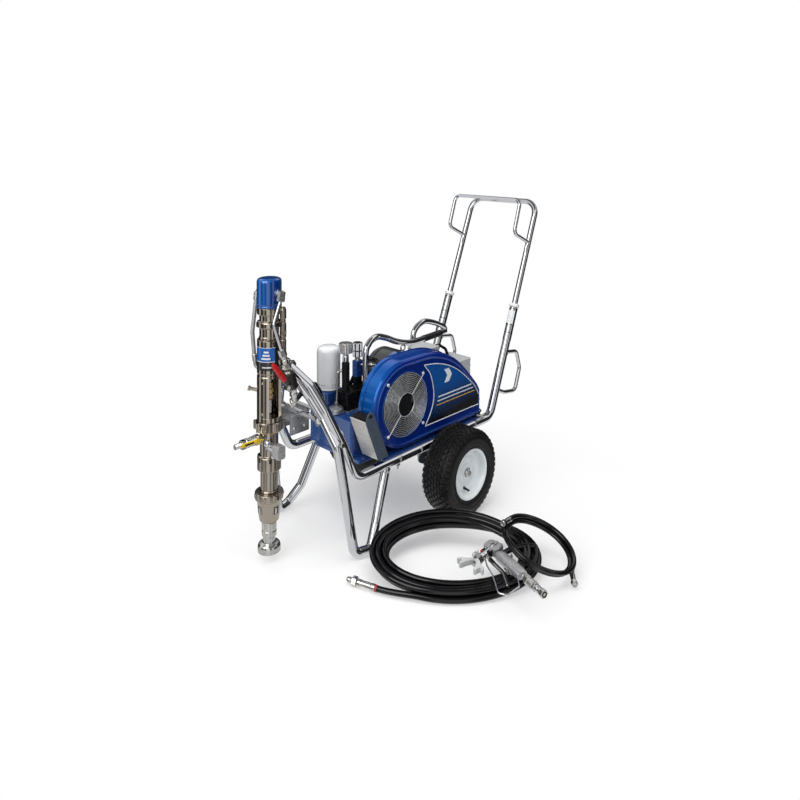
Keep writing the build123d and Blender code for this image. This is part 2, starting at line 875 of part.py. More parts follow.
with BuildPart() as pressure_line:
    # elbow on the cap and the bent steel tube
    with BuildSketch(Plane.XZ.offset(40)):
        with Locations((PUMP_X + 4, 904)):
            Circle(9)
    extrude(amount=22)
    with BuildSketch(Plane(origin=(PUMP_X + 4, -66, 912), z_dir=(-0.2, -0.02, -1))):
        RegularPolygon(12, 6)
    extrude(amount=34)
    with BuildLine() as bent_tube:
        FilletPolyline(
            (PUMP_X - 2, -67, 884),
            (-722, -74, 812),
            (-706, -88, 742),
            (-694, -95, 700),
            radius=24,
        )
    with BuildSketch(Plane(origin=bent_tube.line @ 0, z_dir=bent_tube.line % 0)):
        Circle(6)
    sweep()
    union_plane = Plane(origin=(-702, -90, 728), z_dir=(0.3, -0.12, -1))
    with BuildSketch(union_plane):
        RegularPolygon(13, 6)
    extrude(amount=24)
    with BuildSketch(union_plane.offset(24)):
        Circle(10.5)
    extrude(amount=26)
    with BuildSketch(union_plane.offset(50)):
        RegularPolygon(14, 6)
    extrude(amount=18)

with BuildPart() as control_valve:
    valve_plane = Plane(origin=(-682, -98, 658), z_dir=(0.3, 0.0, -1))
    with BuildSketch(valve_plane):
        Circle(13)
    extrude(amount=10)
    with BuildSketch(valve_plane.offset(10)):
        Circle(19)
    extrude(amount=56)
    with BuildSketch(valve_plane.offset(66)):
        Circle(12)
    extrude(amount=12)
    # carrier on the housing
    with BuildSketch(Plane.XZ.offset(38)):
        with Locations((PUMP_X + 12, 632)):
            Rectangle(22, 26)
    extrude(amount=50)
    # lever spindle
    with BuildSketch(Plane.XZ.offset(90)):
        with Locations((RED_X, RED_Z)):
            Circle(6)
    extrude(amount=33)
    # fitting that turns inwards to the hose
    with BuildLine() as tail:
        FilletPolyline((-660, -98, 584), (-652, -92, 556), (-640, -72, 532), radius=12)
    with BuildSketch(Plane(origin=tail.line @ 0, z_dir=tail.line % 0)):
        Circle(9)
    sweep()

with BuildPart() as red_lever:
    with BuildSketch(Plane.XZ.offset(118)):
        with Locations((RED_X, RED_Z)):
            Circle(11)
            Circle(6 + RUNNING, mode=Mode.SUBTRACT)
    extrude(amount=5)
    lever_turn = degrees(atan2(701 - RED_Z, -762 - RED_X))
    lever_plane = Plane.XZ.offset(118)
    with BuildSketch(lever_plane):
        with BuildLine():
            reach = [
                (RED_X + along * cos(radians(lever_turn)) - across * sin(radians(lever_turn)),
                 RED_Z + along * sin(radians(lever_turn)) + across * cos(radians(lever_turn)))
                for along, across in ((9, 5), (34, 7), (114, 9), (122, 0), (114, -9), (34, -7), (9, -5))
            ]
            Polyline(*reach, close=True)
        make_face()
    extrude(amount=5)

with BuildPart() as return_hose:
    with BuildLine() as braid:
        FilletPolyline(
            (PUMP_X, 38, 904),
            (PUMP_X - 6, 64, 896),
            (PUMP_X - 22, 66, 760),
            (PUMP_X - 16, 62, 650),
            (PUMP_X + 4, 38, 628),
            radius=14,
        )
    with BuildSketch(Plane(origin=braid.line @ 0, z_dir=braid.line % 0)):
        Circle(7)
    sweep()

with BuildPart() as outlet_valve:
    with BuildSketch(Plane.YZ.offset(PUMP_X - 28)):
        with Locations((0, OUTLET_Z)):
            Circle(12)
    extrude(amount=-16)
    with BuildSketch(Plane.YZ.offset(PUMP_X - 42)):
        with Locations((0, OUTLET_Z)):
            RegularPolygon(18, 6)
    extrude(amount=-20)
    with BuildSketch(Plane.YZ.offset(PUMP_X - 58)):
        with Locations((0, OUTLET_Z)):
            Circle(16)
    extrude(amount=-42)
    with BuildSketch(Plane.YZ.offset(PUMP_X - 96)):
        with Locations((0, OUTLET_Z)):
            RegularPolygon(16, 6)
    extrude(amount=-18)
    with BuildSketch(Plane.YZ.offset(PUMP_X - 114)):
        with Locations((0, OUTLET_Z)):
            Circle(9.5)
    extrude(amount=-22)
    # lever spindle
    with BuildSketch(Plane.XZ.offset(10)):
        with Locations((YELLOW_X, OUTLET_Z)):
            Circle(4)
    extrude(amount=20)
    # drain branch with its spindle
    with BuildSketch(Plane.XZ.offset(20)):
        with Locations((DRAIN_X, DRAIN_Z)):
            Circle(11)
    extrude(amount=38)
    with BuildSketch(Plane.XZ.offset(56)):
        with Locations((DRAIN_X, DRAIN_Z)):
            Circle(5)
    extrude(amount=22)

with BuildPart() as yellow_lever:
    with BuildSketch(Plane.XZ.offset(22)):
        with BuildLine():
            Polyline(
                (YELLOW_X + 9, OUTLET_Z - 6),
                (YELLOW_X + 9, OUTLET_Z + 8),
                (YELLOW_X - 14, OUTLET_Z + 14),
                (YELLOW_X - 72, OUTLET_Z + 15),
                (YELLOW_X - 78, OUTLET_Z + 8),
                (YELLOW_X - 72, OUTLET_Z + 1),
                (YELLOW_X - 18, OUTLET_Z),
                (YELLOW_X - 6, OUTLET_Z - 8),
                close=True,
            )
        make_face()
        with Locations((YELLOW_X, OUTLET_Z)):
            Circle(4 + RUNNING, mode=Mode.SUBTRACT)
    extrude(amount=5)

with BuildPart() as drain_knob:
    with BuildSketch(Plane.XZ.offset(62)):
        with Locations((DRAIN_X, DRAIN_Z)):
            Rectangle(32, 44)
    extrude(amount=34)
    fillet(drain_knob.edges().filter_by(Axis.Y), 6)
    with BuildSketch(Plane.XZ.offset(60)):
        with Locations((DRAIN_X, DRAIN_Z)):
            Circle(5 + RUNNING)
    extrude(amount=20, mode=Mode.SUBTRACT)

with BuildPart() as supply_hose:
    with BuildLine() as feed:
        FilletPolyline(
            (-639, -70, 530.5),
            (-622, -44, 510),
            (-560, -18, 520),
            (-470, 20, 500),
            (-401, 66, 446),
            radius=22,
        )
    with BuildSketch(Plane(origin=feed.line @ 0, z_dir=feed.line % 0)):
        Circle(9)
    sweep()

# ======================================================================= hose coil
coil_mid = Vector(-298, -487, 21 + 198 * sin(radians(COIL_TILT)))
coil_up = Vector(0, 0, 1) * cos(radians(COIL_TILT)) - VIEW_IN * sin(radians(COIL_TILT))
coil_plane = Plane(origin=coil_mid, x_dir=VIEW_RIGHT, z_dir=coil_up)

with BuildPart() as hose_coil:
    with BuildSketch(coil_plane.offset(-19)):
        Ellipse(288, 198)
        Ellipse(212, 126, mode=Mode.SUBTRACT)
    extrude(amount=38)
    fillet(hose_coil.edges().filter_by(GeomType.ELLIPSE), 12)

with BuildPart() as coil_fittings:
    tail_dir = Vector(-0.28, 0.95, 0.0).normalized()
    tail_plane = Plane(origin=(-566, -392, 14), z_dir=tail_dir)
    with BuildSketch(tail_plane):
        Circle(11)
    extrude(amount=66)
    with BuildSketch(tail_plane.offset(66)):
        RegularPolygon(13.5, 6)
    extrude(amount=18)
    with BuildSketch(tail_plane.offset(84)):
        Circle(9)
    extrude(amount=20)

whip_mid = Vector(-112, -698, 84)
whip_up = Vector(0, 0, 1) + VIEW_RIGHT * 0.4 - VIEW_IN * 0.2
whip_plane = Plane(origin=whip_mid, x_dir=VIEW_RIGHT - Vector(0, 0, 0.4), z_dir=whip_up)

with BuildPart() as whip_hose:
    with BuildSketch(whip_plane.offset(-15)):
        Circle(134)
        Circle(102, mode=Mode.SUBTRACT)
    extrude(amount=30)
    fillet(whip_hose.edges().filter_by(GeomType.CIRCLE), 9)

with BuildPart() as whip_fittings:
    whip_end = Plane(origin=(-88, -806, 22), z_dir=(-0.72, -0.62, -0.1))
    with BuildSketch(whip_end):
        Circle(8)
    extrude(amount=34)
    with BuildSketch(whip_end.offset(34)):
        RegularPolygon(10, 6)
    extrude(amount=14)

# ======================================================================= gun
gun_plane = Plane(origin=(-252, -600, GUN_Z), x_dir=(-1, -0.05, 0), z_dir=(0, 0, 1))

with BuildPart() as gun_body:
    # barrel towards the tip, along the plane's X
    barrel = Plane(origin=gun_plane.origin, z_dir=gun_plane.x_dir, x_dir=(0, 0, 1))
    with BuildSketch(barrel.offset(-50)):
        Circle(14)
    extrude(amount=104)
    with BuildSketch(barrel.offset(54)):
        RegularPolygon(15, 6)
    extrude(amount=20)
    with BuildSketch(gun_plane.offset(-13)):
        with Locations((-22, 0)):
            Rectangle(52, 56)
    extrude(amount=26)
    # guard wire around the trigger
    with BuildLine() as guard_wire:
        FilletPolyline(
            (-296, -616, GUN_Z),
            (-320, -640, GUN_Z),
            (-350, -686, GUN_Z),
            (-408, -748, GUN_Z),
            (-398, -774, GUN_Z),
            (-340, -776, GUN_Z),
            (-304, -744, GUN_Z),
            radius=14,
        )
    with BuildSketch(Plane(origin=guard_wire.line @ 0, z_dir=guard_wire.line % 0)):
        Circle(2.5)
    sweep()

handle_plane = Plane(origin=(-246, -630, GUN_Z), z_dir=(-0.32, -0.947, 0), x_dir=(0, 0, 1))

with BuildPart() as gun_handle:
    with BuildSketch(handle_plane.offset(2)):
        RectangleRounded(26, 38, 8)
    extrude(amount=128)

with BuildPart() as gun_swivel:
    with BuildSketch(handle_plane.offset(130.5)):
        Circle(8)
    extrude(amount=14)
    with BuildSketch(handle_plane.offset(144)):
        RegularPolygon(13, 6)
    extrude(amount=50)
    with BuildSketch(handle_plane.offset(194)):
        Circle(11)
    extrude(amount=26)
    with BuildSketch(handle_plane.offset(220)):
        RegularPolygon(12, 6)
    extrude(amount=14)

with BuildPart() as tip_guard:
    guard_front = barrel.offset(74.5)
    with BuildSketch(guard_front):
        Circle(15)
        Circle(7 + RUNNING, mode=Mode.SUBTRACT)
    extrude(amount=12)
    for wing in (-1, 1):
        with BuildSketch(gun_plane.offset(-9)):
            with BuildLine():
                Polyline(
                    (75, wing * 9),
                    (86, wing * 9),
                    (124, wing * 30),
                    (124, wing * 44),
                    (104, wing * 50),
                    (96, wing * 36),
                    (75, wing * 15),
                    close=True,
                )
            make_face()
        extrude(amount=18)

with BuildPart() as spray_tip:
    with BuildSketch(gun_plane.offset(15.4)):
        with Locations((81, 0)):
            Circle(4)
    extrude(amount=12)
    with BuildSketch(gun_plane.offset(24)):
        with Locations((81, 0)):
            Rectangle(34, 8)
    extrude(amount=8)

with BuildPart() as gun_trigger:
    with BuildLine() as trigger_run:
        FilletPolyline(
            (-286, -626, GUN_Z),
            (-298, -654, GUN_Z),
            (-318, -704, GUN_Z),
            (-360, -750, GUN_Z),
            radius=18,
        )
    with BuildSketch(Plane(origin=trigger_run.line @ 0, z_dir=trigger_run.line % 0)):
        Circle(5)
    sweep()
    # pivot pin
    with BuildSketch(Plane.XY.offset(GUN_Z - 7)):
        with Locations((-286, -626)):
            Circle(6)
    extrude(amount=14)

# ======================================================================= files
for builder, name in (
    (frame_tubes, "frame_tubes"),
    (legs, "legs"),
    (handle_sleeves, "handle_sleeves"),
    (sleeve_collars, "sleeve_collars"),
    (upper_handle, "upper_handle"),
    (handle_rungs, "handle_rungs"),
    (axle, "axle"),
    (deck_plate, "deck_plate"),
    (tyre_near, "tyre_near"),
    (tyre_far, "tyre_far"),
    (rim_near, "rim_near"),
    (rim_far, "rim_far"),
    (reservoir, "reservoir"),
    (filter_head, "filter_head"),
    (filter_can, "filter_can"),
    (relief_valve, "relief_valve"),
    (pressure_knob, "pressure_knob"),
    (filler_cap, "filler_cap"),
    (suction_dome, "suction_dome"),
    (steel_lines, "steel_lines"),
    (hydraulic_pump, "hydraulic_pump"),
    (motor_body, "motor_body"),
    (junction_box, "junction_box"),
    (electrical_box, "electrical_box"),
    (power_switch, "power_switch"),
    (belt_guard, "belt_guard"),
    (fan_grille, "fan_grille"),
    (fan_rotor, "fan_rotor"),
    (motor_pulley, "motor_pulley"),
    (drive_belt, "drive_belt"),
    (air_duct, "air_duct"),
    (lift_bar, "lift_bar"),
    (pump_bracket, "pump_bracket"),
    (bail, "bail"),
    (pump_cap, "pump_cap"),
    (fluid_motor, "fluid_motor"),
    (pump_housing, "pump_housing"),
    (pump_rod, "pump_rod"),
    (clamp_ring, "clamp_ring"),
    (lower_cylinder, "lower_cylinder"),
    (intake_housing, "intake_housing"),
    (strainer, "strainer"),
    (pressure_line, "pressure_line"),
    (control_valve, "control_valve"),
    (red_lever, "red_lever"),
    (return_hose, "return_hose"),
    (outlet_valve, "outlet_valve"),
    (yellow_lever, "yellow_lever"),
    (drain_knob, "drain_knob"),
    (supply_hose, "supply_hose"),
    (hose_coil, "hose_coil"),
    (coil_fittings, "coil_fittings"),
    (whip_hose, "whip_hose"),
    (whip_fittings, "whip_fittings"),
    (gun_body, "gun_body"),
    (gun_handle, "gun_handle"),
    (gun_swivel, "gun_swivel"),
    (tip_guard, "tip_guard"),
    (spray_tip, "spray_tip"),
    (gun_trigger, "gun_trigger"),
):
    save(builder, name)
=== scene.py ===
"""Looks of the cart-mounted airless paint sprayer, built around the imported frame.

Lengths are millimetres from the floor under the wheel axle, as in the CAD: -X towards the
pump, +X towards the handle, -Y towards the belt guard, +Z up.  Each piece is turned into
metres in the row's frame when it is finished.
"""

from math import acos, atan2, cos, pi, radians, sin, tan

import bpy
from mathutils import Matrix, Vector
from mathutils.geometry import tessellate_polygon


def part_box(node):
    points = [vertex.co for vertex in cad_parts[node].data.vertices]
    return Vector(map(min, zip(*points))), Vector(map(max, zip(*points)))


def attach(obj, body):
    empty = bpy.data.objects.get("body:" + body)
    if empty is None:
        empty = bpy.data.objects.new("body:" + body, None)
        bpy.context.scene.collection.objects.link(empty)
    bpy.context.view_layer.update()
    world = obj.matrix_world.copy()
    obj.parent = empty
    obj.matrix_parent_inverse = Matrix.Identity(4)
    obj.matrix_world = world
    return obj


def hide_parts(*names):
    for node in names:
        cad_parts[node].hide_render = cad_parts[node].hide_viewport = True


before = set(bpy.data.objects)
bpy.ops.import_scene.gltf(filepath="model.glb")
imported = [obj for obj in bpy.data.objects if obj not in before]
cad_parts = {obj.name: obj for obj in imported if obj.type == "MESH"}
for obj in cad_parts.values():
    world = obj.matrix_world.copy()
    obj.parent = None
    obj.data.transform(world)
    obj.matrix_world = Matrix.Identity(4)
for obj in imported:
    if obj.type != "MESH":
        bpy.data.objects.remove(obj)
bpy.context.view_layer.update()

tyre_low, tyre_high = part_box("tyre_near")
BASE = Vector(((tyre_low.x + tyre_high.x) / 2, 0, tyre_low.z))

X = Vector((1, 0, 0))
Y = Vector((0, 1, 0))
Z = Vector((0, 0, 1))
FRONT = -X
NEAR = -Y

# ---- the CAD's main places -----------------------------------------------------------
TRACK_Y = 184.0
RAIL_Z = 254.0
HANDLE_LEAN = 0.4133
HANDLE_X, HANDLE_Z = 482.0, 683.0
TUBE_R = 17.0
GRIP_R = 12.5
RUNG_R = 8.0
LIFT_R = 12.0
AXLE_Z = 160.0
FAN_X, FAN_Z = -213.0, 444.0
MOTOR_X, MOTOR_Z = -42.0, 472.0
PUMP_X = -686.0
PIVOT_X, PIVOT_Z = -626.0, 655.0
OUTLET_Z = 417.0
DRAIN_X, DRAIN_Z = -705.0, 390.0
RED_X, RED_Z = -690.0, 605.0
YELLOW_X = -738.0
GUN_Z = 82.0
VIEW_WAY = Vector((0.7218, 0.6921, 0))
KNOB_AT = (-330, 10)
CAP_AT = (-262, 18)
CAN_AT = (-345, 90)
DOME_AT = (-376, 14)


def place(point):
    """A point in millimetres, in metres in the row's frame."""
    return BASE + Vector(point) / 1000


def handle_point(height, side):
    """Point on the handle tubes' centre line; side is -1 near, +1 far."""
    return Vector((HANDLE_X + (height - HANDLE_Z) * HANDLE_LEAN, side * TRACK_Y, height))


# ======================================================================= shapes
def soften(corners, radius, steps=3, closed=False):
    """A flat polyline with its corners rounded."""
    out = []
    last = len(corners) - 1
    for i, corner in enumerate(corners):
        if not closed and i in (0, last):
            out.append(tuple(corner))
            continue
        here = Vector(corner)
        back = Vector(corners[i - 1]) - here
        ahead = Vector(corners[(i + 1) % len(corners)]) - here
        reach = min(radius, back.length * 0.45, ahead.length * 0.45)
        if reach < 1e-4:
            out.append(tuple(corner))
            continue
        a = here + back.normalized() * reach
        b = here + ahead.normalized() * reach
        for s in range(steps + 1):
            t = s / steps
            out.append(tuple(a * (1 - t) ** 2 + here * (2 * t * (1 - t)) + b * t * t))
    return out


def bend(points, radius, steps=8):
    """A 3-D path with its corners turned into arcs."""
    points = [Vector(p) for p in points]
    out = [points[0]]
    for before, here, after in zip(points, points[1:], points[2:]):
        back, ahead = (before - here).normalized(), (after - here).normalized()
        angle = acos(max(-1.0, min(1.0, back.dot(ahead))))
        if angle > pi - 0.02:
            out.append(here)
            continue
        reach = radius / tan(angle / 2)
        reach = min(reach, (before - here).length * 0.49, (after - here).length * 0.49)
        true_radius = reach * tan(angle / 2)
        middle = here + (back + ahead).normalized() * (true_radius / sin(angle / 2))
        a, b = here + back * reach - middle, here + ahead * reach - middle
        sweep = acos(max(-1.0, min(1.0, a.normalized().dot(b.normalized()))))
        for s in range(steps + 1):
            t = s / steps
            arm = (a * sin((1 - t) * sweep) + b * sin(t * sweep)) / sin(sweep)
            out.append(middle + arm)
    out.append(points[-1])
    return out


def ease(start, end, leave, arrive, t):
    """Point at share t of a path from start to end, with its slopes at both."""
    return (start * (2 * t ** 3 - 3 * t * t + 1) + leave * (t ** 3 - 2 * t * t + t)
            + end * (3 * t * t - 2 * t ** 3) + arrive * (t ** 3 - t * t))


def smooth(points, first, last, steps=6):
    """A 3-D path eased through its points; first and last are the slopes at its ends."""
    points = [Vector(p) for p in points]
    inner = [(after - before) / 2 for before, after in zip(points, points[2:])]
    slopes = [Vector(first), *inner, Vector(last)]
    out = []
    for a, b, leave, arrive in zip(points, points[1:], slopes, slopes[1:]):
        out += [ease(a, b, leave, arrive, s / steps) for s in range(steps)]
    return out + [points[-1]]


def inset(outline, distance):
    """A flat closed outline moved inwards (anticlockwise outlines) by a distance."""
    out = []
    count = len(outline)
    for i in range(count):
        p, q, r = Vector(outline[i - 1]), Vector(outline[i]), Vector(outline[(i + 1) % count])
        d1, d2 = (q - p).normalized(), (r - q).normalized()
        n1, n2 = Vector((-d1.y, d1.x)), Vector((-d2.y, d2.x))
        mid = n1 + n2
        if mid.length < 1e-6:
            mid = n1
        mid = mid.normalized()
        out.append(tuple(q + mid * (distance / max(0.35, mid.dot(n1)))))
    return out


def turns(count):
    """Evenly spaced angles all the way round."""
    return [2 * pi * k / count for k in range(count)]


def spoke(turn):
    """Level direction at an angle."""
    return Vector((cos(turn), sin(turn), 0))


def tangent(turn):
    """Level direction square to the spoke at an angle."""
    return Vector((-sin(turn), cos(turn), 0))


def polygon(radius, count, start=0.0):
    """Corners of a regular polygon."""
    return [(radius * cos(start + t), radius * sin(start + t)) for t in turns(count)]


def fluted(radius, depth, count, sharp, points):
    """A round outline with flutes cut into it, or with lugs where the depth is negative."""
    out = []
    for t in turns(points):
        reach = radius - depth * max(0.0, cos(count * t)) ** sharp
        out.append((reach * cos(t), reach * sin(t)))
    return out


def ring(centre, radius, u, v, count):
    """Points of a circle in the (u, v) plane."""
    return [centre + u * (radius * cos(t)) + v * (radius * sin(t)) for t in turns(count)]


def rectangle(width, height, corner=2.0, steps=3):
    """Rounded rectangle, anticlockwise."""
    w, h = width / 2, height / 2
    return soften([(w, -h), (w, h), (-w, h), (-w, -h)], corner * 1.3, steps, closed=True)


def across(direction):
    """Two directions square to the one given."""
    direction = Vector(direction).normalized()
    helper = Z if abs(direction.z) < 0.9 else X
    u = helper.cross(direction).normalized()
    return u, direction.cross(u)


class Piece:
    """Gathers the surfaces of one piece; every surface has its own material."""

    def __init__(self, name):
        self.name = name
        self.points = []
        self.faces = []
        self.slots = []
        self.materials = []

    def add(self, points, faces, material):
        """Add faces over their own points."""
        base = len(self.points)
        if material not in self.materials:
            self.materials.append(material)
        slot = self.materials.index(material)
        self.points.extend(Vector(p) for p in points)
        self.faces.extend([base + i for i in face] for face in faces)
        self.slots.extend([slot] * len(faces))

    def loft(self, loops, material, caps=(True, True), wrap=False):
        """Skin over closed loops of equal length."""
        size = len(loops[0])
        points = [p for loop in loops for p in loop]
        faces = []
        pairs = len(loops) if wrap else len(loops) - 1
        for k in range(pairs):
            a, b = k * size, ((k + 1) % len(loops)) * size
            for i in range(size):
                j = (i + 1) % size
                faces.append((a + i, a + j, b + j, b + i))
        if not wrap:
            if caps[0]:
                faces.append(tuple(range(size - 1, -1, -1)))
            if caps[1]:
                start = (len(loops) - 1) * size
                faces.append(tuple(range(start, start + size)))
        self.add(points, faces, material)

    def lathe(self, centre, axis, profile, material, sides=40, soft=0.0, wrap=False):
        """A turned shape from (radius, distance along the axis) pairs."""
        if soft:
            profile = soften(profile, soft, closed=wrap)
        centre, axis = Vector(centre), Vector(axis).normalized()
        u, v = across(axis)
        loops = []
        for radius, along in profile:
            radius = max(radius, 0.02)
            loops.append(ring(centre + axis * along, radius, u, v, sides))
        self.loft(loops, material, wrap=wrap)

    def rod(self, start, end, radius, material, sides=32, soft=1.0):
        """A plain round bar with eased ends."""
        start, end = Vector(start), Vector(end)
        length = (end - start).length
        self.lathe(start, end - start, [(0, 0), (radius, 0), (radius, length), (0, length)],
                   material, sides, soft)

    def tube(self, points, radius, material, fillet=0.0, sides=18, steps=8, closed=False):
        """A round tube along a path; radius may be a function of the share of the way."""
        path = bend(points, fillet, steps) if fillet else [Vector(p) for p in points]
        count = len(path)
        loops = []
        if closed:
            heading = (path[1] - path[-1]).normalized()
        else:
            heading = (path[1] - path[0]).normalized()
        u, v = across(heading)
        for i, point in enumerate(path):
            if closed:
                new = (path[(i + 1) % count] - path[i - 1]).normalized()
            else:
                new = (path[min(i + 1, count - 1)] - path[max(i - 1, 0)]).normalized()
            turn = heading.rotation_difference(new)
            u = (turn @ u).normalized()
            heading = new
            v = heading.cross(u).normalized()
            r = radius(i / (count - 1)) if callable(radius) else radius
            loops.append(ring(point, r, u, v, sides))
        self.loft(loops, material, wrap=closed)

    def prism(self, outline, origin, u, v, depth, material, edge=0.8):
        """An outline in the (u, v) plane pushed out along u x v with eased edges."""
        origin, u, v = Vector(origin), Vector(u).normalized(), Vector(v).normalized()
        w = u.cross(v)
        area = sum(
            outline[i - 1][0] * outline[i][1] - outline[i][0] * outline[i - 1][1]
            for i in range(len(outline))
        )
        if area < 0:
            outline = outline[::-1]
        edge = min(edge, abs(depth) / 2.2)
        sign = 1 if depth > 0 else -1
        lower, upper = [], []
        for angle in (0, pi / 4, pi / 2):
            shape = inset(outline, edge * (1 - sin(angle)))
            rise = sign * edge * (1 - cos(angle))
            lower.append([origin + u * a + v * b + w * rise for a, b in shape])
            upper.append([origin + u * a + v * b + w * (depth - rise) for a, b in shape])
        self.loft(lower + upper[::-1], material)

    def block(self, centre, size, material, edge=1.0, corner=2.0, u=X, v=Y):
        """A box with rounded corners; its size runs along u, v and u x v."""
        u, v = Vector(u).normalized(), Vector(v).normalized()
        origin = Vector(centre) - u.cross(v) * (size[2] / 2)
        corner = min(corner, size[0] / 2.2, size[1] / 2.2)
        self.prism(rectangle(size[0], size[1], corner), origin, u, v, size[2], material, edge)

    def nut(self, start, axis, flats, length, material, count=6, turn=0.0, edge=1.0):
        """Hexagon from its start along an axis; flats is the size across flats."""
        u, v = across(axis)
        radius = flats / 2 / cos(pi / count)
        self.prism(polygon(radius, count, turn), start, u, v, length, material, edge)

    def screw(self, start, axis, radius, height, material, socket=True):
        """A dome-headed screw."""
        self.lathe(start, axis,
                   [(0, 0), (radius, 0), (radius, height * 0.45), (radius * 0.75, height * 0.9),
                    (radius * 0.3, height), (0, height)], material, 20, 0.4)
        # the socket is painted shade: two thin black bars
        if socket:
            u, v = across(axis)
            at = Vector(start) + Vector(axis).normalized() * (height - 0.1)
            for a, b in ((u, v), (v, u)):
                self.block(at, (radius * 1.1, radius * 0.2, 0.5), SHADE_BLACK, 0.1, 0.2, a, b)

    def sheet(self, pairs, material):
        """A thin sheet through pairs of points, one pair after the other."""
        faces = [(2 * s - 2, 2 * s, 2 * s + 1, 2 * s - 1) for s in range(1, len(pairs))]
        self.add([p for pair in pairs for p in pair], faces, material)

    def ball(self, centre, radius, material, stretch=1.0, axis=Z, sides=28, rows=14):
        """A ball, stretched along an axis."""
        profile = [
            (radius * sin(pi * k / rows), -radius * stretch * cos(pi * k / rows))
            for k in range(rows + 1)
        ]
        self.lathe(centre, axis, profile, material, sides)

    def done(self, body, *nodes):
        """Make the mesh, let it ride on its body and stand for its CAD nodes."""
        mesh = bpy.data.meshes.new(self.name)
        mesh.from_pydata([place(p) for p in self.points], [], self.faces)
        for material in self.materials:
            mesh.materials.append(material)
        mesh.polygons.foreach_set("material_index", self.slots)
        mesh.polygons.foreach_set("use_smooth", [True] * len(self.faces))
        mesh.update()
        mesh.set_sharp_from_angle(angle=radians(38))
        piece = bpy.data.objects.new(self.name, mesh)
        bpy.context.scene.collection.objects.link(piece)
        even = piece.modifiers.new("Even shading", "WEIGHTED_NORMAL")
        even.keep_sharp = True
        even.weight = 80
        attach(piece, body)
        if nodes:
            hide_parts(*nodes)


# ======================================================================= materials
def nodes_of(name):
    """A new node material, its tree and its Principled shader."""
    material = bpy.data.materials.new(name)
    material.use_nodes = True
    tree = material.node_tree
    return material, tree, tree.nodes["Principled BSDF"]


def link(tree, source, target):
    """Join an output to an input."""
    tree.links.new(source, target)


def noise(tree, where, scale, detail=4.0, rough=0.55):
    """Noise from 0 to 1 at a place on the object."""
    node = tree.nodes.new("ShaderNodeTexNoise")
    node.inputs["Scale"].default_value = scale
    node.inputs["Detail"].default_value = detail
    node.inputs["Roughness"].default_value = rough
    link(tree, where, node.inputs["Vector"])
    return node.outputs["Fac"]


def remap(tree, value, low, high, out_low, out_high):
    """A value between low and high, stretched to the second range and kept inside it."""
    node = tree.nodes.new("ShaderNodeMapRange")
    for key, number in (("From Min", low), ("From Max", high), ("To Min", out_low), ("To Max", out_high)):
        node.inputs[key].default_value = number
    link(tree, value, node.inputs["Value"])
    return node.outputs["Result"]


def arithmetic(tree, operation, first, second):
    """A maths node on two outputs."""
    node = tree.nodes.new("ShaderNodeMath")
    node.operation = operation
    link(tree, first, node.inputs[0])
    link(tree, second, node.inputs[1])
    return node.outputs[0]


def place_of(tree):
    """Place on the object, in metres."""
    return tree.nodes.new("ShaderNodeTexCoord").outputs["Object"]


def blend_colours(tree, share, first, second):
    """A share of the second colour over the first; each is a tuple or an output."""
    node = tree.nodes.new("ShaderNodeMix")
    node.data_type = "RGBA"
    for key, colour in ((6, first), (7, second)):
        if isinstance(colour, tuple):
            node.inputs[key].default_value = (*colour, 1)
        else:
            link(tree, colour, node.inputs[key])
    link(tree, share, node.inputs[0])
    return node.outputs[2]


def bump(tree, height, strength, distance):
    """A surface direction tilted by a height."""
    node = tree.nodes.new("ShaderNodeBump")
    node.inputs["Strength"].default_value = strength
    node.inputs["Distance"].default_value = distance
    link(tree, height, node.inputs["Height"])
    return node.outputs["Normal"]


def facing(tree, normal, other):
    """How far a normal faces another direction, given as an output or as a vector."""
    dot = tree.nodes.new("ShaderNodeVectorMath")
    dot.operation = "DOT_PRODUCT"
    link(tree, normal, dot.inputs[0])
    if isinstance(other, tuple):
        dot.inputs[1].default_value = other
    else:
        link(tree, other, dot.inputs[1])
    return dot.outputs["Value"]


def surface_normal(tree):
    """Direction the surface faces."""
    return tree.nodes.new("ShaderNodeNewGeometry").outputs["Normal"]


def edges(tree, radius):
    """1 along sharp edges, 0 on flats."""
    bevel = tree.nodes.new("ShaderNodeBevel")
    bevel.samples = 4
    bevel.inputs["Radius"].default_value = radius
    flat = facing(tree, bevel.outputs["Normal"], surface_normal(tree))
    return remap(tree, flat, 0.98, 0.80, 0.0, 1.0)


LIT_WAY = (-0.90, 0.15, 0.42)  # painted light: faces towards the front and up get a lighter tone, as if lit from there
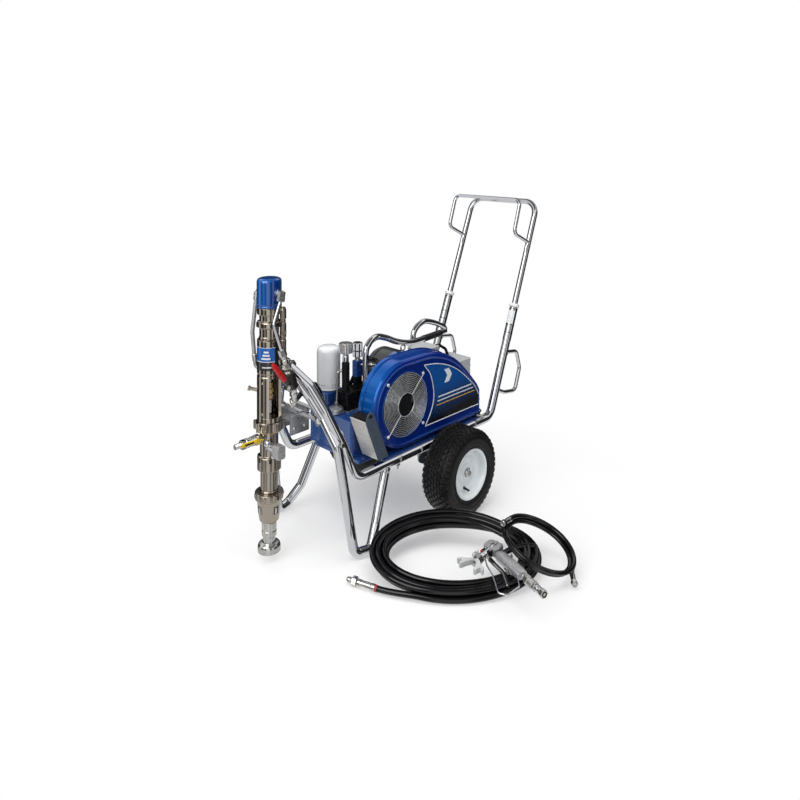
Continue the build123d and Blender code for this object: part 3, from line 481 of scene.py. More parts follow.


def finish(name, colour, metallic=0.0, rough=0.4, vary=0.15, patch=6.0, grain=0.1, grain_size=700,
           coat=0.0, flake=0.0, edge=None, edge_size=0.0012, tint=None, rough_vary=0.12,
           stretch=(1, 1, 1), specular=0.5, lit_side_tone=None):
    """A finish with patchy tone, uneven gloss, fine grain, coloured edges and a painted lit side.

    tint is the colour of the lighter patches; edge is the colour along sharp edges, edge wear on most
    finishes and a painted highlight on the guard and the tyres; the last colour is painted light, the
    tone of faces towards the front and up.
    """
    material, tree, shader = nodes_of(name)
    mapping = tree.nodes.new("ShaderNodeMapping")
    mapping.inputs["Scale"].default_value = stretch
    link(tree, place_of(tree), mapping.inputs["Vector"])
    where = mapping.outputs["Vector"]
    patches = noise(tree, where, patch, 5.0, 0.6)
    darker = tuple(c * (1 - vary) for c in colour)
    lighter = tuple(min(1.0, c * (1 + vary * 0.6)) for c in (tint or colour))
    tone = blend_colours(tree, remap(tree, patches, 0.3, 0.7, 0.0, 1.0), darker, lighter)
    if flake:
        cells = tree.nodes.new("ShaderNodeTexVoronoi")
        cells.inputs["Scale"].default_value = 1800
        link(tree, where, cells.inputs["Vector"])
        glint = remap(tree, cells.outputs["Color"], 0.2, 1.0, 0.0, flake)
        tone = blend_colours(tree, glint, tone, tuple(min(1.0, c * 2.2 + 0.05) for c in colour))
    if lit_side_tone:
        # painted light: faces towards the front and up are blended into the lighter tone
        turned = remap(tree, facing(tree, surface_normal(tree), LIT_WAY), 0.15, 0.95, 0.0, 1.0)
        tone = blend_colours(tree, turned, tone, lit_side_tone)
    if edge:
        # colour along sharp edges: edge wear on most finishes, a painted highlight on the guard and the
        # tyres
        broken = remap(tree, noise(tree, where, 240, 5.0, 0.7), 0.42, 0.6, 0.0, 1.0)
        wear_and_highlight = arithmetic(tree, "MULTIPLY", edges(tree, edge_size), broken)
        tone = blend_colours(tree, wear_and_highlight, tone, edge)
    fine = noise(tree, where, 90, 6.0, 0.65)
    low, high = max(0.02, rough - rough_vary), min(1.0, rough + rough_vary)
    link(tree, tone, shader.inputs["Base Color"])
    link(tree, remap(tree, fine, 0.3, 0.75, low, high), shader.inputs["Roughness"])
    if grain:
        link(tree, bump(tree, noise(tree, where, grain_size, 3.0, 0.6), grain, 0.0004),
             shader.inputs["Normal"])
    shader.inputs["Metallic"].default_value = metallic
    shader.inputs["Coat Weight"].default_value = coat
    shader.inputs["Coat Roughness"].default_value = 0.06
    shader.inputs["Specular IOR Level"].default_value = specular
    return material


CHROME = finish("chrome", (0.68, 0.69, 0.72), 1.0, 0.05, 0.03, 9, 0.0, rough_vary=0.015)
NICKEL = finish("dark_nickel", (0.42, 0.37, 0.31), 1.0, 0.13, 0.08, 14, 0.0,
                edge=(0.62, 0.57, 0.50), rough_vary=0.03)
STEEL = finish("brushed_steel", (0.58, 0.58, 0.59), 1.0, 0.26, 0.05, 12, 0.04, 260,
               stretch=(1, 1, 6), edge=(0.85, 0.85, 0.86), rough_vary=0.03)
ZINC = finish("zinc_plate", (0.62, 0.63, 0.64), 1.0, 0.22, 0.12, 24, 0.06, 600,
              tint=(0.66, 0.64, 0.58), edge=(0.85, 0.85, 0.85), rough_vary=0.06)
ALLOY = finish("cast_alloy", (0.60, 0.61, 0.62), 0.9, 0.36, 0.10, 20, 0.25, 900,
               edge=(0.85, 0.85, 0.86))
KNURLED = finish("knurled_alloy", (0.66, 0.64, 0.62), 0.9, 0.28, 0.08, 30, 0.10, 1200,
                 edge=(0.9, 0.89, 0.87))
BRASS = finish("brass", (0.62, 0.43, 0.20), 1.0, 0.25, 0.2, 20, 0.08, 500, edge=(0.85, 0.66, 0.38))
BUSH = finish("bronze_bush", (0.30, 0.17, 0.09), 0.7, 0.45, 0.25, 40, 0.3, 900)
# the last colour of each blue enamel is painted light on its faces towards the front and up
TANK_BLUE = finish("tank_enamel", (0.014, 0.050, 0.230), 0.1, 0.26, 0.06, 5, 0.04, 300, coat=0.7,
                   edge=(0.04, 0.12, 0.36), rough_vary=0.05, lit_side_tone=(0.030, 0.115, 0.380))
# the guard's cyan edge colour is a painted highlight along its rims and steps
GUARD_BLUE = finish("guard_enamel", (0.002, 0.020, 0.225), 0.35, 0.20, 0.04, 3, 0.0, coat=0.35,
                    flake=0.04, tint=(0.002, 0.026, 0.240), edge=(0.0, 0.30, 0.70), edge_size=0.0015,
                    rough_vary=0.03, specular=0.2, lit_side_tone=(0.0, 0.105, 0.430))
PUMP_BLUE = finish("pump_enamel", (0.001, 0.045, 0.240), 0.2, 0.14, 0.04, 10, 0.0, coat=1.0,
                   edge=(0.02, 0.16, 0.46), rough_vary=0.03, lit_side_tone=(0.0, 0.100, 0.400))
FILTER_WHITE = finish("filter_enamel", (0.86, 0.88, 0.90), 0.0, 0.20, 0.03, 8, 0.02, 300, coat=0.8,
                      rough_vary=0.04, edge=(0.92, 0.92, 0.92))
RIM_WHITE = finish("rim_enamel", (0.82, 0.87, 0.90), 0.0, 0.20, 0.04, 8, 0.04, 260, coat=0.9,
                   edge=(0.60, 0.62, 0.63), rough_vary=0.05)
DUCT_WHITE = finish("duct_plate", (0.74, 0.73, 0.70), 0.25, 0.34, 0.06, 9, 0.08, 500,
                    edge=(0.9, 0.9, 0.88))
SLATE = finish("slate_enamel", (0.080, 0.110, 0.150), 0.3, 0.36, 0.10, 12, 0.15, 700,
               edge=(0.30, 0.34, 0.40))
BOX_GREY = finish("box_powder_coat", (0.52, 0.53, 0.54), 0.2, 0.42, 0.05, 10, 0.25, 1400,
                  edge=(0.72, 0.72, 0.72))
MOTOR_GREY = finish("motor_enamel", (0.055, 0.056, 0.058), 0.4, 0.32, 0.10, 10, 0.15, 900, coat=0.3,
                    edge=(0.25, 0.26, 0.28))
IRON = finish("black_iron", (0.008, 0.008, 0.009), 0.3, 0.30, 0.2, 16, 0.20, 800,
              edge=(0.09, 0.09, 0.09), specular=0.35)
PHOSPHATE = finish("phosphate_iron", (0.034, 0.030, 0.027), 0.6, 0.36, 0.2, 20, 0.25, 900,
                   edge=(0.32, 0.30, 0.28))
RUBBER = finish("gloss_hose_rubber", (0.003, 0.003, 0.0035), 0.0, 0.15, 0.2, 20, 0.0,
                rough_vary=0.04, specular=0.45)
BELT = finish("belt_rubber", (0.012, 0.012, 0.012), 0.0, 0.62, 0.3, 30, 0.5, 1500)
# the tyre's lighter edge colour is a painted highlight on the lug edges
TYRE = finish("tyre_rubber", (0.0050, 0.0048, 0.0046), 0.0, 0.38, 0.2, 26, 0.20, 1100,
              edge=(0.070, 0.067, 0.065), edge_size=0.0025, rough_vary=0.08, specular=0.30)
# black for painted shade: holes, sockets, vents, slots and windows are drawn as black shapes
SHADE_BLACK = finish("shadow_black", (0.004, 0.004, 0.005), 0.0, 0.6, 0.2, 20, 0.2, 900)
PLASTIC = finish("black_plastic", (0.0045, 0.0045, 0.005), 0.0, 0.32, 0.2, 14, 0.20, 1300,
                 edge=(0.03, 0.03, 0.03), specular=0.3)
WHITE_PLASTIC = finish("white_plastic", (0.78, 0.78, 0.77), 0.0, 0.35, 0.05, 12, 0.25, 1200,
                       edge=(0.9, 0.9, 0.9))
PAPER = finish("sticker", (0.76, 0.78, 0.80), 0.0, 0.32, 0.05, 30, 0.08, 600)
RED_GRIP = finish("red_grip", (0.55, 0.010, 0.010), 0.0, 0.28, 0.12, 18, 0.12, 700, coat=0.5)
YELLOW_GRIP = finish("yellow_grip", (0.80, 0.55, 0.02), 0.0, 0.30, 0.10, 18, 0.12, 700, coat=0.4)
AMBER = finish("amber_mark", (0.80, 0.42, 0.02), 0.0, 0.4, 0.1, 20, 0.1, 700)
TIP_GREY = finish("tip_guard_plastic", (0.58, 0.59, 0.59), 0.0, 0.40, 0.08, 24, 0.20, 1200,
                  edge=(0.75, 0.75, 0.74))
GRIP_GREY = finish("gun_alloy", (0.52, 0.52, 0.53), 0.7, 0.32, 0.10, 18, 0.20, 1000,
                   edge=(0.70, 0.70, 0.71))
BLADE = finish("fan_blade", (0.10, 0.103, 0.106), 0.9, 0.30, 0.04, 12, 0.0, edge=(0.4, 0.4, 0.4),
               rough_vary=0.02)
WIRE = finish("grille_wire", (0.60, 0.61, 0.62), 0.45, 0.28, 0.03, 12, 0.0, rough_vary=0.02)
RED_BAND = finish("red_band", (0.50, 0.02, 0.02), 0.0, 0.45, 0.1, 20, 0.1, 700)


# ======================================================================= chassis
def frame_run(side):
    """Path of one side tube, from the handle sleeve down, along the deck and up to the pump."""
    return [
        handle_point(552, side), handle_point(RAIL_Z, side), (-457, side * TRACK_Y, RAIL_Z),
        (-518, side * TRACK_Y, 384), (-562, side * 150, 500), (-592, side * 100, 586),
        (-636, side * 47, 648)
    ]


def side_loop(side):
    """Path of the loop welded behind a lower handle tube."""
    return [
        handle_point(502, side), (500, side * TRACK_Y, 488), (524, side * TRACK_Y, 410),
        (488, side * TRACK_Y, 318), (410, side * TRACK_Y, 330), handle_point(356, side)
    ]


def leg_run(side):
    """Path of one front leg, from the pump down to the floor and back up to the rail."""
    return [
        (-622, side * 40, 622), (-578, side * 82, 540), (-553, side * 124, 470),
        (-545, side * 190, 385), (-490, side * 212, 17), (-432, side * 230, 17),
        (-385, side * 207, 78), (-313, side * 186, 244)
    ]


lean = Vector((HANDLE_LEAN, 0, 1)).normalized()
tubes = Piece("frame_tubes_bent")
for side in (-1, 1):
    tubes.tube(frame_run(side), TUBE_R, CHROME, 52, 24, 10)
    tubes.tube(side_loop(side), RUNG_R, CHROME, 26, 16, 8)
    # flattened, bolted ends at the pump
    ear = Vector((-628, side * 40, 650))
    tubes.block(ear, (38, 30, 9), CHROME, 2, 8, Vector((-0.7, 0, 0.72)), Vector((0.72, 0, 0.7)))
    # weld beads of the loops
    for height in (498, 360):
        tubes.lathe(handle_point(height, side) + Vector((16, 0, -6)), (1, 0, -0.5),
                    [(0, -6), (10, -6), (11, 0), (9, 4), (0, 4)], CHROME, 20, 2)
tubes.done("chassis", "frame_tubes")

legs = Piece("front_legs")
for side in (-1, 1):
    legs.tube(leg_run(side), TUBE_R - 0.3, CHROME, 26, 24, 8)
    # pressed joint where the leg meets the rail
    legs.lathe((-318, side * 186, 240), (0.32, 0, 0.95), [(0, -10), (19, -10), (20, 0), (19, 8), (0, 8)],
               CHROME, 24, 3)
    # cross bolt at the knee
    legs.nut((-543, side * 190, 398), (0, side, 0.1), 15, 26, ZINC)
legs.done("chassis", "legs")

sleeves = Piece("handle_sleeve_tubes")
for side in (-1, 1):
    foot, top = handle_point(548, side), handle_point(681, side)
    length = (top - foot).length
    sleeves.lathe(foot, lean, [(0, 0), (18, 0), (18, length), (0, length)], CHROME, 28, 1.5)
    for height in (580, 612, 676):
        sleeves.lathe(handle_point(height, side), lean,
                      [(17.6, -1.4), (18.9, -1.2), (18.9, 1.2), (17.6, 1.4)], IRON, 28, wrap=True)
    # spring button and its rivet
    sleeves.screw(handle_point(644, side) + Vector((16, 0, -5)), (1, 0, -HANDLE_LEAN), 6, 8, ZINC, False)
    sleeves.screw(handle_point(566, side) + Vector((16, 0, -5)), (1, 0, -HANDLE_LEAN), 4.5, 5, ZINC, False)
# plain label wrapped on the near sleeve
pairs = []
for step in range(15):
    angle = radians(150 + step * 13)
    u, v = across(lean)
    arm = (u * cos(angle) + v * sin(angle)) * 18.6
    pairs.append((handle_point(616, -1) + arm, handle_point(668, -1) + arm))
sleeves.sheet(pairs, PAPER)
sleeves.done("chassis", "handle_sleeves")

collars = Piece("handle_collars")
for side in (-1, 1):
    collars.lathe(handle_point(HANDLE_Z, side), lean,
                  [(13, 0), (20, 0), (21.5, 3), (21.5, 11), (19, 16), (13, 16)],
                  WHITE_PLASTIC, 32, 1.5, wrap=True)
    # clamp lug with its screw
    at = handle_point(HANDLE_Z + 8, side) + Vector((20, 0, -7))
    collars.block(at, (14, 12, 11), WHITE_PLASTIC, 1.5, 3, Vector((1, 0, -0.4)), Y)
    collars.nut(at + Vector((0, -9, 0)), Y, 6, 18, ZINC)
collars.done("chassis", "sleeve_collars")

upper = Piece("upper_handle_tube")
upper.tube([handle_point(588, -1), handle_point(1131, -1), handle_point(1131, 1), handle_point(588, 1)],
           GRIP_R, CHROME, 62, 24, 12)
# height holes down the back of each leg, drawn as black discs of painted shade
for side in (-1, 1):
    for height in (740, 800, 860):
        at = handle_point(height, side) + Vector((1, 0, -HANDLE_LEAN)).normalized() * 12.1
        upper.lathe(at, (1, 0, -HANDLE_LEAN), [(0, 0), (3.6, 0), (3.6, 0.7), (0, 0.7)], SHADE_BLACK, 16)
upper.done("handle", "upper_handle")

rungs = Piece("rear_handle_hoop")
rungs.tube([handle_point(955, -1), (483, -TRACK_Y, 1006), (533, -TRACK_Y, 1150), (533, TRACK_Y, 1150),
            (483, TRACK_Y, 1006), handle_point(955, 1)], RUNG_R, CHROME, 28, 18, 10)
for side in (-1, 1):
    at = handle_point(955, side)
    rungs.lathe(at + Vector((-24, 0, -42)), lean, [(0, 0), (7, 0), (8.4, 12), (8.4, 34), (0, 40)],
                CHROME, 20, 3)
rungs.done("handle", "handle_rungs")

axle = Piece("axle_rod")
axle.rod((0, -321, AXLE_Z), (0, 321, AXLE_Z), 9.9, STEEL, 32, 1.5)
for side in (-1, 1):
    axle.lathe((0, side * 307.5, AXLE_Z), (0, side, 0),
               [(0, 0), (14, 0), (14, 3), (11, 6.5), (11, 9), (0, 9)], ZINC, 28, 0.8)
    axle.lathe((0, side * 201, AXLE_Z), (0, side, 0), [(0, 0), (14, 0), (14, 6), (0, 6)], ZINC, 28, 0.8)
    # split pin through the end
    axle.tube([(-1, side * 318.5, AXLE_Z - 15), (0, side * 318.5, AXLE_Z + 12),
               (4, side * 318.5, AXLE_Z + 16), (2, side * 318.5, AXLE_Z + 19),
               (-3, side * 318.5, AXLE_Z + 15)], 1.4, ZINC, 2, 8, 4)
axle.done("chassis", "axle")

deck = Piece("deck_and_hangers")
deck.prism(rectangle(580, 376, 14), (-40, 0, 271.6), X, Y, 4.6, TANK_BLUE, 1.2)
for side in (-1, 1):
    # folded lip along each side
    deck.block((-40, side * 186.4, 272), (572, 3, 8), TANK_BLUE, 0.8, 1)
    # gusset that carries the axle
    outline = [(-118, RAIL_Z + 17), (-112, 188), (-64, 166), (-16, 138), (16, 138), (34, 150),
               (70, RAIL_Z + 17)]
    deck.prism(soften(outline, 14, 4, True), (0, side * 160 + 3, 0), X, Z, 6, SLATE, 1.2)
    deck.lathe((0, side * 150, AXLE_Z), (0, side, 0), [(10.2, 0), (17, 0), (17, 24), (10.2, 24)],
               SLATE, 28, 1, wrap=True)
    for saddle_x in (-250, -136, 120, 190):
        deck.nut((saddle_x, side * TRACK_Y, RAIL_Z - 27), Z, 12, 7, ZINC)
        deck.lathe((saddle_x, side * TRACK_Y, RAIL_Z - 20), Z, [(0, 0), (10, 0), (10, 2), (0, 2)], ZINC,
                   20, 0.4)
        deck.rod((saddle_x, side * TRACK_Y, RAIL_Z - 36), (saddle_x, side * TRACK_Y, RAIL_Z - 26), 3,
                 ZINC, 12, 0.6)
        # strap over the rail
        deck.tube([(saddle_x, side * (TRACK_Y - 18.5), 271), (saddle_x, side * (TRACK_Y - 18.5), 254),
                   (saddle_x, side * TRACK_Y, 235.6), (saddle_x, side * (TRACK_Y + 18.5), 254),
                   (saddle_x, side * (TRACK_Y + 18.5), 271)], 2.4, ZINC, 16, 10, 6)
deck.prism(rectangle(72, 246, 6), (-366, -18, 268), X, Y, 12, TANK_BLUE, 1.5)
deck.done("chassis", "deck_plate")

# bolts through the rear corner of the deck, seen under the guard
corner = Piece("rear_corner_bracket")
corner.block((226, -166, 290), (44, 30, 26), PLASTIC, 1.5, 3)
corner.tube([(214, -188, 286), (226, -206, 284), (252, -204, 282), (262, -190, 276)], 6, ZINC, 10, 12, 5)
corner.nut((232, -184, 300), NEAR, 13, 9, ZINC)
corner.done("chassis")

# ======================================================================= wheels
CARCASS = [
    (86, 214), (92, 210.5), (104, 209.5), (126, 208.6), (141, 211.5), (149, 218), (153.2, 229), (155, 245),
    (155.4, 271), (155, 297), (153.2, 312.5), (149, 323.5), (141, 330), (126, 332.6), (104, 332), (92, 326),
    (86, 322),
]


def tread_block(piece, radius, y, lean_angle, turn, length, width, height, side):
    """One turf lug standing on the carcass."""
    out_dir = Vector((cos(turn), 0, sin(turn)))
    axial = Vector((0, side, 0))
    along = Vector((-sin(turn), 0, cos(turn)))
    up = (out_dir * cos(lean_angle) + axial * sin(lean_angle)).normalized()
    sideways = along.cross(up).normalized()
    foot = Vector((0, 0, AXLE_Z)) + out_dir * radius + Vector((0, side * y, 0))
    loops = []
    for rise, shrink in ((-2.5, 1.08), (height * 0.8, 0.98), (height, 0.86)):
        a, b = length / 2 * shrink, width / 2 * shrink
        c = 0.28
        shape = [(a, -b * (1 - c)), (a, b * (1 - c)), (a * (1 - c), b), (-a * (1 - c), b),
                 (-a, b * (1 - c)), (-a, -b * (1 - c)), (-a * (1 - c), -b), (a * (1 - c), -b)]
        loops.append([foot + along * p + sideways * q + up * rise for p, q in shape])
    piece.loft(loops, TYRE, caps=(False, True))


def tyre(side, body, node):
    """Turf tyre: carcass, seven rows of lugs, lugs down both walls and moulded rings."""
    piece = Piece(node + "_turf")
    profile = soften(CARCASS, 4, 2)
    piece.lathe((0, 0, AXLE_Z), (0, side, 0), profile, TYRE, 96, wrap=True)
    rows = (
        (153.6, 229, -0.62, 17.0, 13.0, 5.0), (154.6, 243, -0.16, 15.5, 11.5, 5.2),
        (155.2, 257, -0.05, 15.5, 11.5, 4.7), (155.3, 270.8, 0.0, 15.5, 11.5, 4.6),
        (155.2, 284.6, 0.05, 15.5, 11.5, 4.7), (154.6, 298.5, 0.16, 15.5, 11.5, 5.2),
        (153.6, 312.6, 0.62, 17.0, 13.0, 5.0),
    )
    count = 44
    # radius and place across the tyre, slope, and length, width and height of a lug
    for index, (radius, y, slope, length, width, height) in enumerate(rows):
        shift = 0.5 if index % 2 else 0.0
        for k in range(count):
            turn = 2 * pi * (k + shift) / count
            tread_block(piece, radius, y, slope, turn, length, width, height, side)
    # shoulder lugs running down both walls
    for k in range(count):
        turn = 2 * pi * (k + 0.5) / count
        tread_block(piece, 147, 325.5, 1.05, turn, 13.5, 15, 3.2, side)
        tread_block(piece, 147, 216.3, -1.05, turn, 13.5, 15, 3.2, side)
        tread_block(piece, 137, 330.6, 1.36, 2 * pi * k / count, 9, 8, 1.6, side)
        tread_block(piece, 137, 211.0, -1.36, 2 * pi * k / count, 9, 8, 1.6, side)
    # moulded rings on the walls
    for radius, bead in ((127, 0.9), (121, 0.6), (99, 1.2)):
        for wall in (-1, 1):
            y = 270.8 + wall * (61.6 if radius > 110 else 60.6)
            piece.lathe((0, 0, AXLE_Z), (0, side, 0),
                        [(radius + 2 * bead * cos(t), y + bead * sin(t)) for t in turns(8)],
                        TYRE, 96, wrap=True)
    # plain raised dashes in place of the size markings
    for k in range(72):
        turn = 2 * pi * k / 72
        if k % 18 < 9:
            tread_block(piece, 112, 331.8, 1.5, turn, 5.5, 6, 0.9, side)
    piece.done(body, node)


def rim(side, body, node):
    """Pressed steel rim with its bush and valve."""
    piece = Piece(node + "_pressed")
    outer = [(84, 214), (90.5, 214), (91, 216), (86, 219), (84.5, 222), (84.5, 319), (86, 322),
             (92, 325), (93.5, 328), (92.5, 330.4), (88, 330.6), (83, 327), (80, 320), (77, 309),
             (70, 304.5), (62, 303.5), (52, 304.5), (42, 301), (34, 300.2), (27, 302), (24, 306),
             (19, 307), (14, 307), (14, 304), (10.3, 304), (10.3, 212), (22, 212), (22, 296), (60, 298),
             (72, 300), (80, 304), (80, 216)]
    piece.lathe((0, 0, AXLE_Z), (0, side, 0), soften(outer, 2.5, 3, True), RIM_WHITE, 72, wrap=True)
    # bush and hub washer
    piece.lathe((0, 0, AXLE_Z), (0, side, 0), [(10.3, 303), (16, 303), (16, 307.4), (10.3, 307.4)],
                BUSH, 32, 0.6, wrap=True)
    # rivets round the pressed disc
    for k in range(4):
        turn = pi / 4 + k * pi / 2
        at = Vector((47 * cos(turn), side * 301.5, AXLE_Z + 47 * sin(turn)))
        piece.screw(at, (0, side, 0), 5, 4, RIM_WHITE, False)
    # valve stem
    stem = Vector((-16, side * 298, AXLE_Z - 52))
    way = Vector((0.18, side * 1.0, -0.25)).normalized()
    piece.lathe(stem, way, [(0, 0), (7, 0), (7, 4), (4.6, 8), (4.2, 18), (3.6, 19), (3.9, 20), (3.9, 29),
                            (0, 30)], PLASTIC, 20, 0.7)
    piece.done(body, node)


tyre(-1, "wheel_near", "tyre_near")
tyre(1, "wheel_far", "tyre_far")
rim(-1, "wheel_near", "rim_near")
rim(1, "wheel_far", "rim_far")


# ======================================================================= tank and hydraulics
tank = Piece("oil_tank")
tank.block((-275, 18, 343), (250, 242, 124), TANK_BLUE, 5, 11)
# folded base flange and weld seam
tank.block((-275, 18, 283.5), (256, 248, 3), TANK_BLUE, 0.8, 12)
# sight plug and drain plug
tank.lathe((-400, -52, 300), FRONT, [(0, -2), (11, -2), (11, 3), (8, 3.4), (8, 6), (0, 6)], ZINC, 24, 0.6)
tank.nut((-400, -52, 300), FRONT, 12, 9, ZINC)
tank.lathe((-400, 92, 352), FRONT, [(0, -2), (13, -2), (13, 2), (9, 2.6), (0, 2.6)], ALLOY, 24, 0.6)
# lid screws
for x, y in ((-388, -90), (-388, 126), (-162, -90), (-162, 126), (-275, 128), (-205, 128)):
    tank.screw((x, y, 404.6), Z, 5, 3.4, ZINC)
tank.done("chassis", "reservoir")

head = Piece("hydraulic_manifold")
head.block((-345, 88, 437.2), (88, 84, 63.5), TANK_BLUE, 2.5, 6)
head.block((-299, 12, 439.4), (94, 62, 67.5), IRON, 2.5, 5)
head.block((*CAP_AT, 544), (34, 26, 61), TANK_BLUE, 1.6, 3)
head.block((*CAP_AT, 494), (30, 23, 41), IRON, 1.6, 3)
head.block((*CAP_AT, 476), (42, 34, 8), IRON, 1, 3)
head.block((-299, 12, 407.5), (104, 72, 4), ALLOY, 1, 4)
for x, y in ((-340, -12), (-316, -12), (-270, -12)):
    head.screw((x, y, 473), Z, 5, 4, IRON)
for spot in ((-389, 66, 446), (-389, 110, 446)):
    head.lathe(spot, FRONT, [(0, -2), (9, -2), (9, 3), (0, 3)], ZINC, 24, 0.6)
    head.nut(Vector(spot) + Vector((-3, 0, 0)), FRONT, 10, 5, ZINC)
# elbow into the head
head.tube([(-389, 88, 424), (-404, 88, 424), (-412, 78, 420), (-414, 60, 414)], 5, ZINC, 6, 12, 4)
head.nut((-392, 88, 424), FRONT, 14, 8, ZINC)
head.done("chassis", "filter_head")

can = Piece("oil_filter_can")
can.lathe((*CAN_AT, 469.6), Z,
          [(0, 0), (38, 0), (42, 1.5), (45, 5), (45, 8), (43.8, 10), (43.8, 14), (44.6, 17), (44.8, 140),
           (44.0, 148), (41, 155.5), (34, 160), (22, 162.6), (0, 163.8)], FILTER_WHITE, 56, 1.6)
# printed dashes around the foot
for k in range(26):
    turn = 2 * pi * k / 26
    if k % 6 < 4:
        out_dir = spoke(turn)
        at = Vector((*CAN_AT, 494)) + out_dir * 44.75
        can.block(at, (5.5, 2.6, 0.3), MOTOR_GREY, 0.1, 0.3, tangent(turn), Z)
can.done("chassis", "filter_can")

relief = Piece("pressure_valve_body")
profile = [(0, 0), (16, 0), (16, 6), (13.2, 8)]
for rib in range(12):
    foot = 10 + rib * 8.2
    profile += [(13.6, foot), (15.5, foot + 1.2), (15.5, foot + 4.6), (13.6, foot + 5.8)]
profile += [(13.6, 110), (12, 112), (8, 112), (8, 100), (0, 100)]
relief.lathe((*KNOB_AT, 473.4), Z, profile, PLASTIC, 36, 0.5)
relief.done("chassis", "relief_valve")

knob = Piece("pressure_control_knob")
knob.rod((*KNOB_AT, 563), (*KNOB_AT, 620), 5.9, CHROME, 24)
knob.lathe((*KNOB_AT, 586.5), Z, [(0, 0), (11, 0), (12, 1.5), (12, 18), (10.8, 20), (10.8, 24), (12, 26),
                                  (12, 32), (0, 32)], CHROME, 36, 0.8)
knob.prism(fluted(26.0, 1.9, 12, 3, 96), (*KNOB_AT, 618), X, Y, 37, KNURLED, 2.4)
knob.lathe((*KNOB_AT, 654.8), Z, [(0, 0), (19, 0), (19, 0.8), (15, 1.2), (0, 1.2)], KNURLED, 40, 0.3)
knob.done("control_knob", "pressure_knob")

cap = Piece("breather_filler_cap")
cap.lathe((*CAP_AT, 574.5), Z, [(0, 0), (11, 0), (11, 6), (9, 8), (9, 13), (0, 13)], ZINC, 30, 0.6)
cap.nut((*CAP_AT, 575), Z, 19, 6, ZINC)
for foot, top, size in ((587, 610, 19.0), (611.5, 642, 19.6)):
    cap.prism(fluted(size, 3.6, 8, 2, 80), (*CAP_AT, foot), X, Y, top - foot, CHROME, 3.2)
cap.lathe((*CAP_AT, 641.4), Z, [(0, 0), (14, 0), (13, 1.2), (8, 1.6), (0, 1.6)], CHROME, 30, 0.4)
cap.done("tank_cap", "filler_cap")

dome = Piece("suction_dome_cast")
dome.lathe((*DOME_AT, 405), Z,
           [(0, 0), (28, 0), (31, 3), (31, 11), (29, 18), (23, 23), (12, 25.6), (0, 26)], ALLOY, 56, 1.6)
dome.lathe((*DOME_AT, 405), Z, [(30.6, 3), (31.6, 4), (31.6, 6), (30.6, 7)], ALLOY, 56, 0.4, wrap=True)
dome.done("chassis", "suction_dome")

lines = Piece("steel_hydraulic_lines")
lines.tube([(-368, 18, 432), (-362, 18, 552), (-346.5, 14, 556)], 4, ZINC, 8, 14, 6)
lines.nut((-367.8, 18, 434), (0.05, 0, 1), 13, 9, ZINC)
lines.nut((-356, 16.5, 554), (0.97, -0.2, 0.1), 11, 8, ZINC)
lines.tube([(-258, 2, 560), (-226, -36, 560), (-196, -66, 556)], 4, ZINC, 10, 14, 6)
lines.nut((-252, -5, 560), (0.64, -0.77, 0), 13, 9, ZINC)
lines.nut((-238, -21, 560), (0.64, -0.77, 0), 15, 12, ZINC)
lines.nut((-206, -56, 558), (0.7, -0.7, -0.05), 13, 9, ZINC)
lines.done("chassis", "steel_lines")

pump = Piece("hydraulic_pump_housing")
pump.lathe((FAN_X, -97, FAN_Z), Y, [(10.3, 0), (24, 0), (26, 4), (34, 6), (37, 9), (37, 40), (35, 42),
                                    (35, 58), (37, 60), (37, 132), (34, 138), (0, 138), (0, 96),
                                    (10.3, 96)], IRON, 48, 1.5, wrap=True)
pump.block((-228, -52, 508), (44, 40, 74), IRON, 2.5, 6)
pump.lathe((-220, -8, 474), Z, [(0, 0), (15, 0), (15, 44), (12, 48), (12, 56), (0, 58)], IRON, 28, 1.5)
for k in range(6):
    turn = pi / 6 + k * pi / 3
    pump.screw((FAN_X + 29 * cos(turn), 41, FAN_Z + 29 * sin(turn)), Y, 4.5, 4, ZINC)
# hydraulic fittings and the black hose that feeds them
pump.nut((-238, -52, 545), Z, 17, 10, ZINC)
pump.nut((-216, -52, 545), Z, 15, 8, ZINC)
pump.tube([(-216, -52, 552), (-214, -40, 574), (-226, -14, 578), (-240, 12, 560), (-250, 40, 520),
           (-262, 60, 470), (-270, 70, 412)], 8, RUBBER, 16, 16, 5)
pump.tube([(-238, -70, 500), (-262, -92, 494), (-276, -84, 470), (-284, -64, 434), (-290, -60, 402)], 7,
          RUBBER, 14, 16, 5)
pump.lathe((-289, -60, 404), Z, [(0, 0), (10, 0), (10, 8), (0, 8)], ZINC, 20, 0.6)
pump.done("chassis", "hydraulic_pump")

# ======================================================================= motor and boxes
motor = Piece("electric_motor_shell")
motor.lathe((MOTOR_X, -96, MOTOR_Z), Y, [(12.2, 2), (20, 2), (24, 0), (60, 0), (76, 4), (86, 12),
                                         (90, 22), (90, 29), (93, 30), (93, 44), (90, 45), (90, 186),
                                         (86, 188), (86, 192), (90, 193), (90, 206), (84, 218),
                                         (66, 225), (30, 226), (0, 226), (0, 30), (12.2, 30)],
            MOTOR_GREY, 72, 1.6, wrap=True)
# black strap around the shell
motor.lathe((MOTOR_X, -66, MOTOR_Z), Y, [(90, 0), (93.6, 0.4), (93.6, 13.6), (90, 14)], PLASTIC, 72, 0.8,
            wrap=True)
# end-bell vents, drawn as black blocks of painted shade
for k in range(12):
    turn = 2 * pi * k / 12
    at = Vector((MOTOR_X + 55 * cos(turn), 129.2, MOTOR_Z + 55 * sin(turn)))
    motor.block(at, (26, 6, 2), SHADE_BLACK, 0.3, 2.6, Vector((cos(turn), 0, sin(turn))),
                Vector((sin(turn), 0, -cos(turn))))
